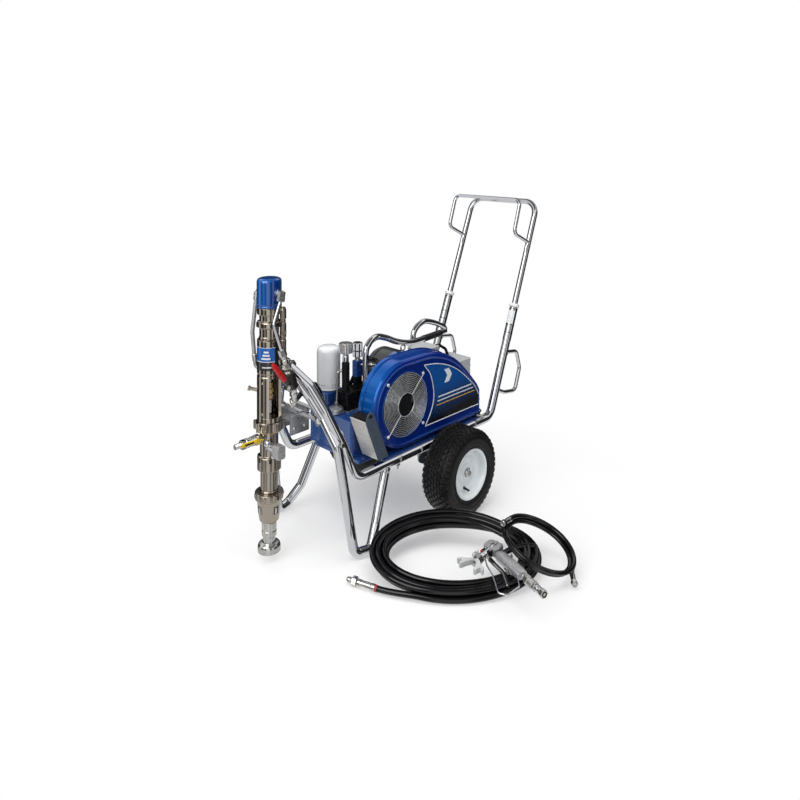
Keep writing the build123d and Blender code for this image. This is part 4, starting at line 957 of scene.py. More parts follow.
# through bolts
for k in range(4):
    turn = pi / 4 + k * pi / 2
    motor.screw((MOTOR_X + 78 * cos(turn), 124, MOTOR_Z + 78 * sin(turn)), Y, 5, 5, ZINC)
motor.block((MOTOR_X, -4, 281), (150, 130, 7.5), MOTOR_GREY, 1.2, 6)
motor.block((MOTOR_X, -4, 332), (90, 110, 98), MOTOR_GREY, 3, 6)
for x in (-62, 62):
    for y in (-50, 44):
        motor.nut((MOTOR_X + x, y, 284.6), Z, 13, 7, ZINC)
# blank plate riveted on the shell
pairs = []
for step in range(9):
    turn = radians(96 + step * 5.2)
    x, z = MOTOR_X + 90.6 * cos(turn), MOTOR_Z + 90.6 * sin(turn)
    pairs.append(((x, 26, z), (x, -34, z)))
motor.sheet(pairs, PUMP_BLUE)
# lifting eye
motor.lathe((MOTOR_X - 6, -18, 558), Z, [(0, 0), (11, 0), (11, 5), (6, 7), (6, 14), (0, 14)], ZINC, 24, 0.8)
motor.tube(ring(Vector((MOTOR_X - 6, -18, 584)), 11.7, X, Z, 28), 3.3, ZINC, closed=True, sides=12)
motor.done("chassis", "motor_body")

jbox = Piece("junction_box_lid")
jbox.block((72, -20, 550), (104, 88, 20), BOX_GREY, 2, 7)
jbox.block((72, -20, 562.5), (106, 90, 7), BOX_GREY, 2.5, 8)
jbox.block((54, -20, 528), (26, 60, 26), BOX_GREY, 2, 4)
for x in (30, 114):
    for y in (-54, 14):
        jbox.screw((x, y, 565.6), Z, 4, 2.6, ZINC)
jbox.block((46, -34, 566.2), (17, 9, 0.7), AMBER, 0.2, 1)
jbox.lathe((121, -20, 552), X, [(0, 0), (10, 0), (10, 8), (8, 12), (8, 20), (6.6, 22), (0, 22)], PLASTIC,
           24, 0.8)
jbox.tube([(141, -20, 552), (172, -20, 550), (204, -28, 528), (214, -32, 500), (217, -34, 484)], 6.2,
          RUBBER, 20, 16, 6)
jbox.done("chassis", "junction_box")

ebox = Piece("electrical_box_case")
ebox.block((245, -35, 378), (90, 126, 202), BOX_GREY, 3, 8)
ebox.block((245, -35, 481.5), (93, 129, 14), BOX_GREY, 4, 9)
for z in (310, 452):
    ebox.screw((290, -90, z), X, 4.5, 3, ZINC)
    ebox.screw((290, 20, z), X, 4.5, 3, ZINC)
# gland and mains lead
ebox.lathe((290, -20, 318), X, [(0, -3), (15, -3), (15, 5), (11, 8), (11, 18), (8, 22), (0, 22)],
           PLASTIC, 24, 0.8)
ebox.tube([(305, -20, 318), (330, -20, 312), (340, -18, 290), (334, -6, 268), (322, 20, 262)], 6.8,
          RUBBER, 16, 16, 6)
ebox.lathe((290.5, -35, 440), X, [(4.4, -8), (21, -8), (21, 0.2), (4.4, 0.2)], PLASTIC, 36, 0.6, wrap=True)
for k in range(6):
    ebox.block((290.4, -35, 396 - k * 7), (52, 2.4, 1.2), SHADE_BLACK, 0.2, 0.8, Y, Z)
ebox.done("chassis", "electrical_box")

switch = Piece("main_switch_knob")
switch.rod((282, -35, 440), (297, -35, 440), 3.9, PLASTIC, 20, 0.5)
switch.lathe((291, -35, 440), X, [(0, 0), (16, 0), (17, 1.5), (17, 5.5), (15.5, 7), (0, 7)], PLASTIC, 40,
             0.6)
switch.block((304, -35, 440), (8, 30, 13), PLASTIC, 1.6, 3, Y, Z)
switch.block((310.6, -35, 449), (2, 9, 0.8), PAPER, 0.2, 0.6, Y, Z)
switch.done("switch", "power_switch")

# ======================================================================= belt guard
def arc_from(start, end, heading, steps):
    """Arc from start to end leaving along heading; returns its points and its last heading."""
    start, end, heading = Vector(start), Vector(end), Vector(heading).normalized()
    chord = end - start
    square = Vector((heading.y, -heading.x))
    radius = chord.length_squared / (2 * chord.dot(square))
    middle = start + square * radius
    a, b = start - middle, end - middle
    total = a.angle(b)
    out = []
    for s in range(1, steps + 1):
        turn = -total * s / steps
        out.append((middle.x + a.x * cos(turn) - a.y * sin(turn),
                    middle.y + a.x * sin(turn) + a.y * cos(turn)))
    last = Vector((b.y, -b.x)).normalized()
    return out, last


def guard_outline(amount):
    """The guard's outline moved inwards; clockwise seen from the near side."""
    shape = [(245, 279), (FAN_X, 279)]
    for s in range(1, 40):
        turn = -pi / 2 - pi * s / 40
        shape.append((FAN_X + 165 * cos(turn), FAN_Z + 165 * sin(turn)))
    shape += [(FAN_X, 609), (-110, 609)]
    crown, heading = arc_from((-110, 609), (137, 511), (1, 0), 22)
    shoulder, heading = arc_from((137, 511), (228, 416), heading, 12)
    shape += crown + shoulder + [(245, 388)]
    shape = inset(shape[::-1], amount)[::-1]
    corner = soften([shape[-1], shape[0], shape[1]], 12, 6)
    return corner[1:-1] + shape[1:]


def guard_loop(amount, y):
    """The guard's outline moved inwards, at a distance y from the middle of the cart."""
    return [Vector((a, y, b)) for a, b in guard_outline(amount)]


guard = Piece("belt_guard_cover")
levels = ((3.2, -111), (0.6, -110.4), (0, -112), (0, -127), (0.8, -129.6), (3.4, -131), (4.2, -133.5),
          (4.4, -172), (5.4, -178), (8.2, -183.4), (12.4, -186.6), (16.5, -187.6), (18.4, -188.4),
          (19.6, -190.6), (21.4, -191.4), (23.4, -190.8), (24.4, -189.2), (26.0, -188.6))
guard.loft([guard_loop(amount, y) for amount, y in levels], GUARD_BLUE, caps=(False, False))
inner_levels = ((3.2, -111), (4.0, -125), (7.2, -135), (7.6, -172), (10, -180), (17, -184.4),
                (26.0, -185.4))
guard.loft([guard_loop(a, y) for a, y in inner_levels][::-1], GUARD_BLUE, caps=(False, False))

# flat wall round the fan opening, outside and inside
for y, outwards in ((-188.6, 1), (-185.4, -1)):
    rim_loop = guard_loop(26.0, y)
    hole_loop = ring(Vector((FAN_X, y, FAN_Z)), 119, X, Z, 72)
    flat = [[Vector((p.x, p.z, 0)) for p in rim_loop], [Vector((p.x, p.z, 0)) for p in hole_loop]]
    tris = tessellate_polygon(flat)
    pool = rim_loop + hole_loop
    faces = []
    for a, b, c in tris:
        normal = (pool[b] - pool[a]).cross(pool[c] - pool[a])
        faces.append((a, b, c) if normal.y * outwards < 0 else (c, b, a))
    guard.add(pool, faces, GUARD_BLUE)
# rolled lip of the fan opening
lip = [(119, -188.6), (117.6, -190.2), (116.2, -190.0), (114.6, -187.5), (114.0, -178), (115.2, -178),
       (116, -184), (119, -185.4)]
guard.lathe((FAN_X, 0, FAN_Z), Y, lip, GUARD_BLUE, 72, wrap=True)
# two beads pressed along the foot of the cover
for z in (300, 306):
    guard.tube([(-150, -188.2, z), (205, -188.2, z)], 1.2, GUARD_BLUE, sides=8)


def curve_between(points, steps):
    """Smooth flat curve through its points."""
    pts = [Vector(p) for p in points]
    ext = [pts[0] * 2 - pts[1]] + pts + [pts[-1] * 2 - pts[-2]]
    out = []
    for i in range(1, len(ext) - 2):
        a, b, c, d = ext[i - 1:i + 3]
        for s in range(steps):
            t = s / steps
            out.append(0.5 * ((2 * b) + (c - a) * t + (2 * a - 5 * b + 4 * c - d) * t * t
                              + (3 * b - a - 3 * c + d) * t ** 3))
    out.append(pts[-1])
    return out


def label_material():
    """Blue running down into black with a fine diagonal sheen; it carries no lettering."""
    material, tree, shader = nodes_of("guard_label")
    where = place_of(tree)
    split = tree.nodes.new("ShaderNodeSeparateXYZ")
    link(tree, where, split.inputs[0])
    rise = tree.nodes.new("ShaderNodeMath")
    rise.operation = "MULTIPLY_ADD"
    link(tree, split.outputs["X"], rise.inputs[0])
    rise.inputs[1].default_value = -0.10
    link(tree, split.outputs["Z"], rise.inputs[2])
    low = place((0, 0, 345)).z - 0.10 * BASE.x
    high = place((0, 0, 470)).z - 0.10 * BASE.x
    fade = remap(tree, rise.outputs[0], low, high, 0.0, 1.0)
    base = blend_colours(tree, fade, (0.005, 0.005, 0.006), (0.001, 0.070, 0.290))
    speck = remap(tree, noise(tree, where, 420, 3.0), 0.45, 0.7, 0.0, 0.04)
    link(tree, blend_colours(tree, speck, base, (0.05, 0.14, 0.34)), shader.inputs["Base Color"])
    link(tree, remap(tree, noise(tree, where, 60), 0.3, 0.7, 0.26, 0.34), shader.inputs["Roughness"])
    shader.inputs["Specular IOR Level"].default_value = 0.3
    return material


label_left = curve_between([(-111, 565), (-74, 518), (-56, 442), (-70, 385), (-105, 333)], 10)
label_foot = [Vector((-40, 332.6)), Vector((60, 332)), Vector((150, 331.6))]
label_right = curve_between([(224, 331), (229, 350), (219, 378), (195, 414), (152, 453), (109, 488),
                             (64, 517), (18, 538), (-44, 556), (-111, 565)], 6)
label_edge = label_left + label_foot + label_right[:-1]
label_pool = [Vector((p.x, -189.3, p.y)) for p in label_edge]
LABEL = label_material()
guard.add(label_pool, [tuple(range(len(label_pool)))], LABEL)
border = [Vector((p.x, -189.4, p.y)) for p in label_edge]
guard.tube(border, 1.7, PAPER, closed=True, sides=8)

# plain stripes in place of the printed badge
for k, (left, right, z) in enumerate(((-30, 175, 424), (-34, 186, 410), (-40, 196, 396))):
    guard.block(((left + right) / 2, -189.6, z - k), (right - left, 5 - k, 0.5),
                PAPER if k < 2 else AMBER, 0.1, 1, X, Z)
guard.prism(soften([(6, 470), (34, 470), (52, 496), (34, 522), (6, 522), (24, 496)], 2, 2, True),
            (0, -189.2, 0), X, Z, 0.6, PAPER, 0.15)
guard.done("chassis", "belt_guard")

grille = Piece("fan_grille_wires")
for index in range(12):
    radius = 43 + index * 6.45
    loop = ring(Vector((FAN_X, -192.4, FAN_Z)), radius, X, Z, 64)
    grille.tube(loop, 0.85 if index else 1.8, WIRE, closed=True, sides=8)
for turn, y, gauge in ((45, -194.6, 1.8), (135, -190.6, 1.1)):
    way = Vector((cos(radians(turn)), 0, sin(radians(turn))))
    middle = Vector((FAN_X, y, FAN_Z))
    for side in (-1, 1):
        grille.tube([middle + way * (side * 43), middle + way * (side * 133)], gauge, WIRE, sides=10)
for k in range(4):
    turn = radians(45 + k * 90)
    at = (FAN_X + 132 * cos(turn), -190.0, FAN_Z + 132 * sin(turn))
    grille.lathe(at, NEAR, [(0, -1), (6.5, -1), (6.5, 1.2), (0, 1.2)], ZINC, 20, 0.3)
    grille.screw(Vector(at) + NEAR, NEAR, 5.6, 4.6, PAPER)
grille.done("chassis", "fan_grille")

fan = Piece("cooling_fan")
fan.lathe((FAN_X, -150, FAN_Z), NEAR,
          [(0, 0), (39, 0), (41, 3), (41, 28), (38, 33), (34, 35), (0, 35)], PLASTIC, 48, 1.0)
for k in range(7):
    turn = 2 * pi * k / 7
    loops = []
    for share in (0.0, 0.25, 0.5, 0.75, 1.0):
        radius = 33 + share * 76
        pitch = radians(58 - 26 * share)
        half = 15 + 9 * sin(share * pi * 0.62)
        sweep = turn + 0.22 * share
        out_dir = Vector((cos(sweep), 0, sin(sweep)))
        ahead = Vector((-sin(sweep), 0, cos(sweep)))
        chord = (ahead * cos(pitch) * -1 + NEAR * sin(pitch)).normalized()
        thick = chord.cross(out_dir).normalized()
        centre = Vector((FAN_X, -167, FAN_Z)) + out_dir * radius
        section = []
        for a, b in ((-1, 0), (-0.6, 0.9), (0, 1.4), (0.6, 1.0), (1, 0), (0.6, -0.7), (0, -0.4),
                     (-0.6, -0.7)):
            section.append(centre + chord * (a * min(half, 16)) + thick * (b * 1.5 + 3.0 * (1 - a * a)))
        loops.append(section)
    fan.loft(loops, BLADE)
fan.rod((FAN_X, -152, FAN_Z), (FAN_X, -78, FAN_Z), 9.9, STEEL, 28)
fan.lathe((FAN_X, -144, FAN_Z), Y, [(9, 0), (70, 0), (70, 3), (66, 6), (66, 14), (70, 17), (70, 20),
                                    (9, 20)], IRON, 60, 0.6, wrap=True)
fan.done("fan", "fan_rotor")

pulley = Piece("motor_belt_pulley")
pulley.lathe((MOTOR_X, -144, MOTOR_Z), Y, [(0, 0), (35, 0), (35, 3), (31, 6), (31, 14), (35, 17),
                                           (35, 20), (16, 20), (0, 20)], IRON, 48, 0.6)
pulley.rod((MOTOR_X, -126, MOTOR_Z), (MOTOR_X, -76, MOTOR_Z), 11.9, STEEL, 28)
pulley.done("motor_shaft", "motor_pulley")


def belt_path(extra):
    """Outline around both pulleys."""
    gap = Vector((MOTOR_X - FAN_X, MOTOR_Z - FAN_Z))
    big, small = 70 + extra, 35 + extra
    tilt = acos((big - small) / gap.length)
    base = atan2(gap.y, gap.x)
    out = []
    for x, z, radius, start, sweep, steps in (
            (FAN_X, FAN_Z, big, base + tilt, 2 * pi - 2 * tilt, 24),
            (MOTOR_X, MOTOR_Z, small, base - tilt, 2 * tilt, 16)):
        for s in range(steps + 1):
            t = start + sweep * s / steps
            out.append((x + radius * cos(t), z + radius * sin(t)))
    return out


belt = Piece("drive_belt_ribbed")
loops = []
for extra, y in ((0.3, -128), (0.3, -140), (1.5, -141), (5, -141), (6, -140), (6, -128), (5, -127),
                 (1.5, -127)):
    loops.append([Vector((a, y, b)) for a, b in belt_path(extra)])
belt.loft(loops, BELT, wrap=True)
belt.done("chassis", "drive_belt")

duct = Piece("air_outlet_duct")
# bright front plate with folded ends
front = [(-420, 432), (-416.8, 433.2), (-357.2, 288.2), (-360.5, 287)]
duct.prism(front, (0, -113, 0), X, Z, 79, DUCT_WHITE, 0.8)
duct.block((-419, -152, 433), (6, 79, 5), DUCT_WHITE, 1.2, 2, Vector((0.4, 0, 0.92)), Y)
side_plate = [(-420, 432), (-414, 456), (-400, 468), (-384, 462), (-309, 286), (-360.5, 286)]
duct.prism(soften(side_plate, 6, 3, True), (0, -193, 0), X, Z, 3, SLATE, 0.7)
duct.screw((-399, -196, 452), NEAR, 7, 4.4, IRON, False)
# painted shade: a black block for the slot above the plate
duct.block((-396, -152, 440), (34, 76, 9), SHADE_BLACK, 1, 2, Vector((1, 0, 0.2)), Y)
duct.done("chassis", "air_duct")

bars = Piece("lifting_bars_bent")
near_way = [(-277, -43, 405.4), (-277, -43, 520)]
near_way += smooth([(-277, -43, 604), (-253, -36, 646), (-196, -19, 656), (-123, 2, 634), (-39, 27, 598),
                    (69, 59, 565), (184, 93, 549), (310, 130, 536), (404, 152, 530)], (0, 0, 90),
                   (90, 20, -4))
bars.tube(near_way, LIFT_R, CHROME, sides=22)
far_way = [(165, 123, 276.8), (165, 123, 420)]
far_way += smooth([(165, 123, 550), (180, 124, 588), (218, 129, 605), (262, 136, 606), (345, 148, 580),
                   (410, 153, 548)], (0, 0, 80), (60, 6, -36))
bars.tube(far_way, LIFT_R, CHROME, sides=22)
# ribbed grip on the rear half of the near bar
grip_way = [Vector(p) for p in near_way if p[0] > 190][:-2]
bars.tube(grip_way, LIFT_R + 1.0, IRON, sides=22)
for first, second in zip(grip_way, grip_way[1:]):
    for share in (0.0, 0.34, 0.67):
        bars.lathe(first.lerp(second, share), second - first, [(12.5, 0), (14.2, 0.8), (14.2, 3.2),
                                                               (12.5, 4)], IRON, 22, 0.3, wrap=True)
clamp = handle_point(520, 1)
bars.lathe(clamp, lean, [(17.3, 0), (22, 0), (22, 24), (17.3, 24)], ZINC, 32, 1.2, wrap=True)
bars.block(clamp + Vector((8, -24, 12)), (22, 14, 24), ZINC, 1.4, 3)
bars.nut(clamp + Vector((-4, -30, 14)), NEAR, 13, 7, ZINC)
bars.lathe((-277, -43, 405.4), Z, [(0, 0), (16, 0), (16, 3), (11, 6), (0, 6)], CHROME, 28, 0.8)
bars.lathe((165, 123, 276.8), Z, [(0, 0), (17, 0), (17, 3), (11, 7), (0, 7)], CHROME, 28, 0.8)
bars.done("chassis", "lift_bar")

# ======================================================================= pump bracket and latch
bracket = Piece("pump_cradle_bracket")
bracket.rod((PIVOT_X, -56, PIVOT_Z), (PIVOT_X, 56, PIVOT_Z), 7.9, ZINC, 28, 1.5)
for side in (-1, 1):
    bracket.nut((PIVOT_X, side * 50, PIVOT_Z), (0, side, 0), 20, 8, ZINC)
    bracket.lathe((PIVOT_X, side * 47, PIVOT_Z), (0, side, 0), [(8, 0), (14, 0), (14, 3), (8, 3)], ZINC,
                  28, 0.4, wrap=True)
channel = [(-630, -42), (-546, -42), (-546, 42), (-630, 42), (-630, 38.4), (-550, 38.4), (-550, -38.4),
           (-630, -38.4)]
bracket.prism(soften(channel, 3, 2, True), (0, 0, 408), X, Y, 72, STEEL, 0.8)
# folded lip and two screws per cheek
for side in (-1, 1):
    bracket.block((-588, side * 44.6, 477.5), (82, 6, 3), STEEL, 0.7, 1)
    for x in (-612, -568):
        bracket.screw((x, side * 42, 430), (0, side, 0), 5.5, 4, ZINC)
bracket.rod((-556, -116, 462), (-556, 116, 462), 10, CHROME, 28)
for side in (-1, 1):
    bracket.lathe((-556, side * 98, 462), (0, side, 0), [(9, 0), (13, 1), (15, 12), (10, 18)], CHROME,
                  24, wrap=True)
    ear = Vector((-506, side * 161, 388))
    bracket.block(ear, (34, 22, 4), STEEL, 0.8, 5, X, Z)
bracket.done("chassis", "pump_bracket")

latch = Piece("front_bail_wire")
latch.tube([(-500, -166, 388), (-500, -148, 388), (-478, -140, 400), (-546, -62, 486), (-546, 62, 486),
            (-478, 140, 400), (-500, 148, 388), (-500, 166, 388)], 5.95, CHROME, 8, 16, 6)
latch.done("latch", "bail")

# ======================================================================= paint pump
cap_piece = Piece("pump_top_cap")
cap_piece.lathe((PUMP_X, 0, 852.2), Z, [(0, 0), (41, 0), (42.4, 2), (42.4, 6), (41.2, 8), (41.2, 12),
                                        (42, 14), (42, 88), (39.5, 95), (33, 98.4), (20, 99), (0, 99)],
                PUMP_BLUE, 64, 1.5)
# plain bosses for the two elbows
cap_piece.lathe((PUMP_X + 4, -38, 904), NEAR, [(0, -6), (13, -6), (13, 4), (11, 6), (0, 6)], PUMP_BLUE,
                32, 1)
cap_piece.lathe((PUMP_X, 36, 904), Y, [(0, -6), (12, -6), (12, 4), (0, 5)], PUMP_BLUE, 32, 1)
cap_piece.done("pump", "pump_cap")

motor_top = Piece("fluid_motor_barrel")
motor_top.lathe((PUMP_X, 0, 745.2), Z, [(0, 0), (34, 0), (35, 2), (35, 8), (33, 10), (33, 38), (36, 40),
                                        (40.5, 41.5), (42, 44), (42, 57), (40.5, 60), (36, 61.5),
                                        (33, 63), (33, 82), (38, 84), (41, 86), (41, 106), (40, 106.8),
                                        (0, 106.8)], NICKEL, 64, 0.8)
# spanner notches in the collar
for k in range(8):
    turn = 2 * pi * (k + 0.5) / 8
    at = Vector((PUMP_X + 41.6 * cos(turn), 41.6 * sin(turn), 796))
    motor_top.block(at, (9, 4, 15.5), PHOSPHATE, 0.6, 1, tangent(turn), spoke(turn))
# side valve behind
motor_top.lathe((PUMP_X + 34, -32, 700.5), Z, [(0, 0), (9, 0), (11, 2), (11, 38), (9.6, 40), (9.6, 48),
                                               (11, 50), (11, 96), (9, 98), (9, 110), (11, 112),
                                               (11, 140), (8, 150), (0, 150.8)], NICKEL, 32, 0.8)
for k in range(6):
    turn = 2 * pi * k / 6
    motor_top.nut((PUMP_X + 34, -32, 758 + 0.01 * k), Z, 21, 12, NICKEL, turn=0.2)
motor_top.done("pump", "fluid_motor")


def shell_arc(radius, low, high, start, stop, thick, piece, material, steps=18):
    """A piece of tube wall between two angles in degrees."""
    loops = []
    for s in range(steps + 1):
        t = radians(start + (stop - start) * s / steps)
        way = spoke(t)
        at = Vector((PUMP_X, 0, 0))
        loops.append([
            at + way * (radius - thick) + Z * low, at + way * (radius - 0.6) + Z * low,
            at + way * radius + Z * (low + 0.8), at + way * radius + Z * (high - 0.8),
            at + way * (radius - 0.6) + Z * high, at + way * (radius - thick) + Z * high,
        ])
    piece.loft(loops, material)


def closed_shell(profile, piece, material, foot):
    """A turned sleeve on the pump's axis."""
    piece.lathe((PUMP_X, 0, foot), Z, profile, material, 64, 0.8, wrap=True)


housing = Piece("pump_rod_housing")
closed_shell([(32, 0), (41, 0), (41, 16), (32, 16)], housing, NICKEL, 470.2)
closed_shell([(9.3, 8), (32, 8), (32, 0), (41, 0), (41, 4), (39.4, 6), (39.4, 14), (41, 16), (41, 126),
              (39, 127.2), (9.3, 127.2)], housing, NICKEL, 618)
for start, stop in ((-230, -126), (-48, 46), (81, 130)):
    shell_arc(41, 485.5, 618.6, start, stop, 9, housing, NICKEL)
# pivot lug
lug = soften([(PIVOT_X - 30, PIVOT_Z - 17), (PIVOT_X, PIVOT_Z - 17), (PIVOT_X + 13, PIVOT_Z - 11),
              (PIVOT_X + 17, PIVOT_Z), (PIVOT_X + 13, PIVOT_Z + 11), (PIVOT_X, PIVOT_Z + 17),
              (PIVOT_X - 30, PIVOT_Z + 17)], 6, 3, True)
for y in (-12, 20):
    housing.prism(lug, (0, y, 0), X, Z, 8, NICKEL, 1)
housing.rod((PUMP_X - 3, 36, 559), (PUMP_X - 39, 65.5, 571), 6, NICKEL, 20, 1.5)
housing.rod((PUMP_X - 34, 61.5, 569.4), (PUMP_X - 40, 66, 571.4), 8.5, NICKEL, 20, 1.5)
# grub screws
for turn_deg, z in ((-160, 604), (-10, 604), (-160, 500), (-10, 500), (110, 604)):
    turn = radians(turn_deg)
    way = spoke(turn)
    housing.screw(Vector((PUMP_X, 0, z)) + way * 40.6, way, 4, 2.2, ZINC)
housing.done("pump", "pump_housing")


def badge_material():
    """Blue badge with a white rule and a black foot, no lettering."""
    material, tree, shader = nodes_of("pump_badge")
    where = place_of(tree)
    split = tree.nodes.new("ShaderNodeSeparateXYZ")
    link(tree, where, split.inputs[0])
    middle = place((0, 0, 676)).z
    step = remap(tree, split.outputs["Z"], middle - 0.001, middle + 0.001, 0.0, 1.0)
    base = blend_colours(tree, step, (0.018, 0.018, 0.020), (0.010, 0.110, 0.430))
    speck = remap(tree, noise(tree, where, 500, 3.0), 0.5, 0.7, 0.0, 0.12)
    link(tree, blend_colours(tree, speck, base, (0.2, 0.25, 0.32)), shader.inputs["Base Color"])
    link(tree, remap(tree, noise(tree, where, 90), 0.3, 0.7, 0.16, 0.30), shader.inputs["Roughness"])
    shader.inputs["Coat Weight"].default_value = 0.5
    return material


def wrap_patch(piece, radius, low, high, start, stop, material, steps=20):
    """A thin patch bent round the pump's axis, angles in degrees."""
    pairs = []
    for s in range(steps + 1):
        t = radians(start + (stop - start) * s / steps)
        x, y = PUMP_X + radius * cos(t), radius * sin(t)
        pairs.append(((x, y, low), (x, y, high)))
    piece.sheet(pairs, material)


badge = Piece("pump_badge_patch")
BADGE = badge_material()
wrap_patch(badge, 41.4, 646, 724, 150, 262, BADGE)
wrap_patch(badge, 41.55, 675, 677.4, 150, 262, PAPER)
wrap_patch(badge, 41.55, 722.4, 724, 150, 262, PAPER)
for k in range(3):
    wrap_patch(badge, 41.6, 684 + k * 11, 690 + k * 11, 196 + k * 6, 240 - k * 4, PAPER, 10)
wrap_patch(badge, 41.6, 656, 660, 200, 244, PAPER, 10)
badge.done("pump")

rod = Piece("piston_rod_coupling")
rod.lathe((PUMP_X, 0, 400), Z, [(0, 0), (11, 0), (11, 146), (0, 146)], CHROME, 40, 0.8)
rod.lathe((PUMP_X, 0, 545), Z, [(0, 0), (16, 0), (18, 2), (18, 13), (15.5, 15), (15.5, 19), (18, 21),
                                (18, 31), (16, 34), (14, 34.4), (14, 54), (0, 54)], BRASS, 40, 0.8)
rod.nut((PUMP_X, 0, 547), Z, 33, 11, ZINC)
rod.lathe((PUMP_X, 0, 599), Z, [(0, 0), (9, 0), (9, 96), (0, 96)], CHROME, 36, 0.6)
rod.lathe((PUMP_X, 0, 540.6), Z, [(11, 0), (15, 0), (15, 4.4), (11, 4.4)], BUSH, 36, 0.6, wrap=True)
rod.done("piston", "pump_rod")

nut_ring = Piece("clamp_nut_lugged")
outline = fluted(45, -8.6, 8, 6, 128)
loops = []
for share, z in ((0.975, 440), (1.0, 441.4), (1.0, 468.6), (0.975, 470)):
    loops.append([Vector((PUMP_X + a * share, b * share, z)) for a, b in outline])
for z in (470, 440):
    loops.append(ring(Vector((PUMP_X, 0, z)), 31.3, X, Y, 128))
nut_ring.loft(loops, NICKEL, wrap=True)
closed_shell([(31.4, 0), (43, 0), (43, 4), (31.4, 4)], nut_ring, BRASS, 436.4)
nut_ring.done("pump", "clamp_ring")

lower = Piece("lower_pump_cylinder")
lower.lathe((PUMP_X, 0, 231.2), Z, [(0, 0), (31, 0), (31, 4), (29.4, 6), (29.4, 70), (31, 72), (38, 74),
                                    (40, 76), (40, 118), (38.6, 121), (33, 122), (31, 124), (31, 236),
                                    (30, 240.6), (24, 241), (24, 252.6), (11.2, 252.8), (11.2, 100),
                                    (0, 100)], NICKEL, 64, 0.8, wrap=True)
for k in range(6):
    turn = 2 * pi * k / 6
    at = Vector((PUMP_X + 39.6 * cos(turn), 39.6 * sin(turn), 344))
    lower.block(at, (10, 3, 15), PHOSPHATE, 0.5, 1, tangent(turn), spoke(turn))
lower.done("pump", "lower_cylinder")

intake = Piece("intake_valve_housing")
profile = [(20, 134), (31.6, 134), (33, 135.4), (35.2, 150), (40.6, 196), (42.2, 204), (46.4, 206.4),
           (48, 208.6), (48, 228.6), (46.4, 230.8), (20, 230.8)]
intake.lathe((PUMP_X, 0, 0), Z, soften(profile, 1.2, 2, True), NICKEL, 64, wrap=True)
# four inspection windows, framed, with black sheets of painted shade inside
for k in range(4):
    turn = k * pi / 2
    way = spoke(turn)
    flat = tangent(turn)
    up = (Z * 46 + way * 5.4).normalized()
    face = Vector((PUMP_X, 0, 176)) + way * 37.9
    intake.block(face, (17, 23, 1.6), SHADE_BLACK, 0.4, 1.5, flat, up)
    for a, b, size in ((9.4, 0, (2, 26)), (-9.4, 0, (2, 26)), (0, 12.6, (20.6, 2)), (0, -12.6, (20.6, 2))):
        intake.block(face + flat * a + up * b, (size[0], size[1], 2.6), NICKEL, 0.6, 0.9, flat, up)
    intake.rod(face + way * -1 + up * -10, face + way * -1 + up * 10, 4.4, STEEL, 16)
# lugs for a pin spanner on the upper collar
for k in range(6):
    turn = 2 * pi * (k + 0.5) / 6
    way = spoke(turn)
    intake.lathe(Vector((PUMP_X, 0, 218)) + way * 45, way, [(0, 0), (7.5, 0), (7.5, 3.6), (5, 4.6),
                                                            (0, 4.6)], NICKEL, 20, 0.6)
intake.done("pump", "intake_housing")

foot = Piece("intake_strainer")
foot.lathe((PUMP_X, 0, 28), Z, [(0, 0), (35, 0), (37, 1), (38, 3), (38, 20), (36, 25), (32, 28.6),
                                (22, 30), (21, 32), (21, 50), (22, 52), (25, 54), (25, 70), (23.6, 72),
                                (23.6, 76), (25, 78), (25, 100), (22, 103.4), (20, 105.6), (0, 105.6)],
           ZINC, 64, 0.8)
# knurled band: fine diamonds
for k in range(56):
    turn = 2 * pi * k / 56
    for lift, skew in ((31.5, 0.10), (37.0, -0.10), (42.5, 0.10)):
        way = spoke(turn)
        flat = tangent(turn)
        foot.block(Vector((PUMP_X, 0, lift)) + way * 38.0, (2.3, 4.8, 1.0), ZINC, 0.35, 0.5,
                   (flat + Z * skew * 3).normalized(), (Z - flat * skew * 3).normalized())
foot.done("pump", "strainer")

line = Piece("steel_pressure_line")
line.rod((PUMP_X + 4, -40, 904), (PUMP_X + 4, -64, 904), 9, ZINC, 28, 1.5)
line.nut((PUMP_X + 4, -42, 904), NEAR, 22, 10, ZINC)
line.ball((PUMP_X + 4, -66, 905), 11, ZINC, 1.0)
line.nut((PUMP_X + 4, -66, 912), (-0.2, -0.02, -1), 22, 33, ZINC)
line.nut((PUMP_X, -66.4, 893), (-0.2, -0.02, -1), 24, 12, ZINC)
line.tube([(PUMP_X - 2, -67, 884), (-722, -74, 812), (-706, -88, 742), (-694, -95, 700)], 6, CHROME, 24,
          18, 8)
way = Vector((0.3, -0.12, -1)).normalized()
start = Vector((-702, -90, 728))
line.nut(start, way, 23, 23, ZINC)
line.lathe(start + way * 23, way, [(0, 0), (9, 0), (10.5, 2), (10.5, 8), (9.4, 9), (9.4, 12), (10.5, 13),
                                   (10.5, 26), (0, 27)], ZINC, 28, 0.6)
line.nut(start + way * 50, way, 25, 17, ZINC)
line.done("pump", "pressure_line")

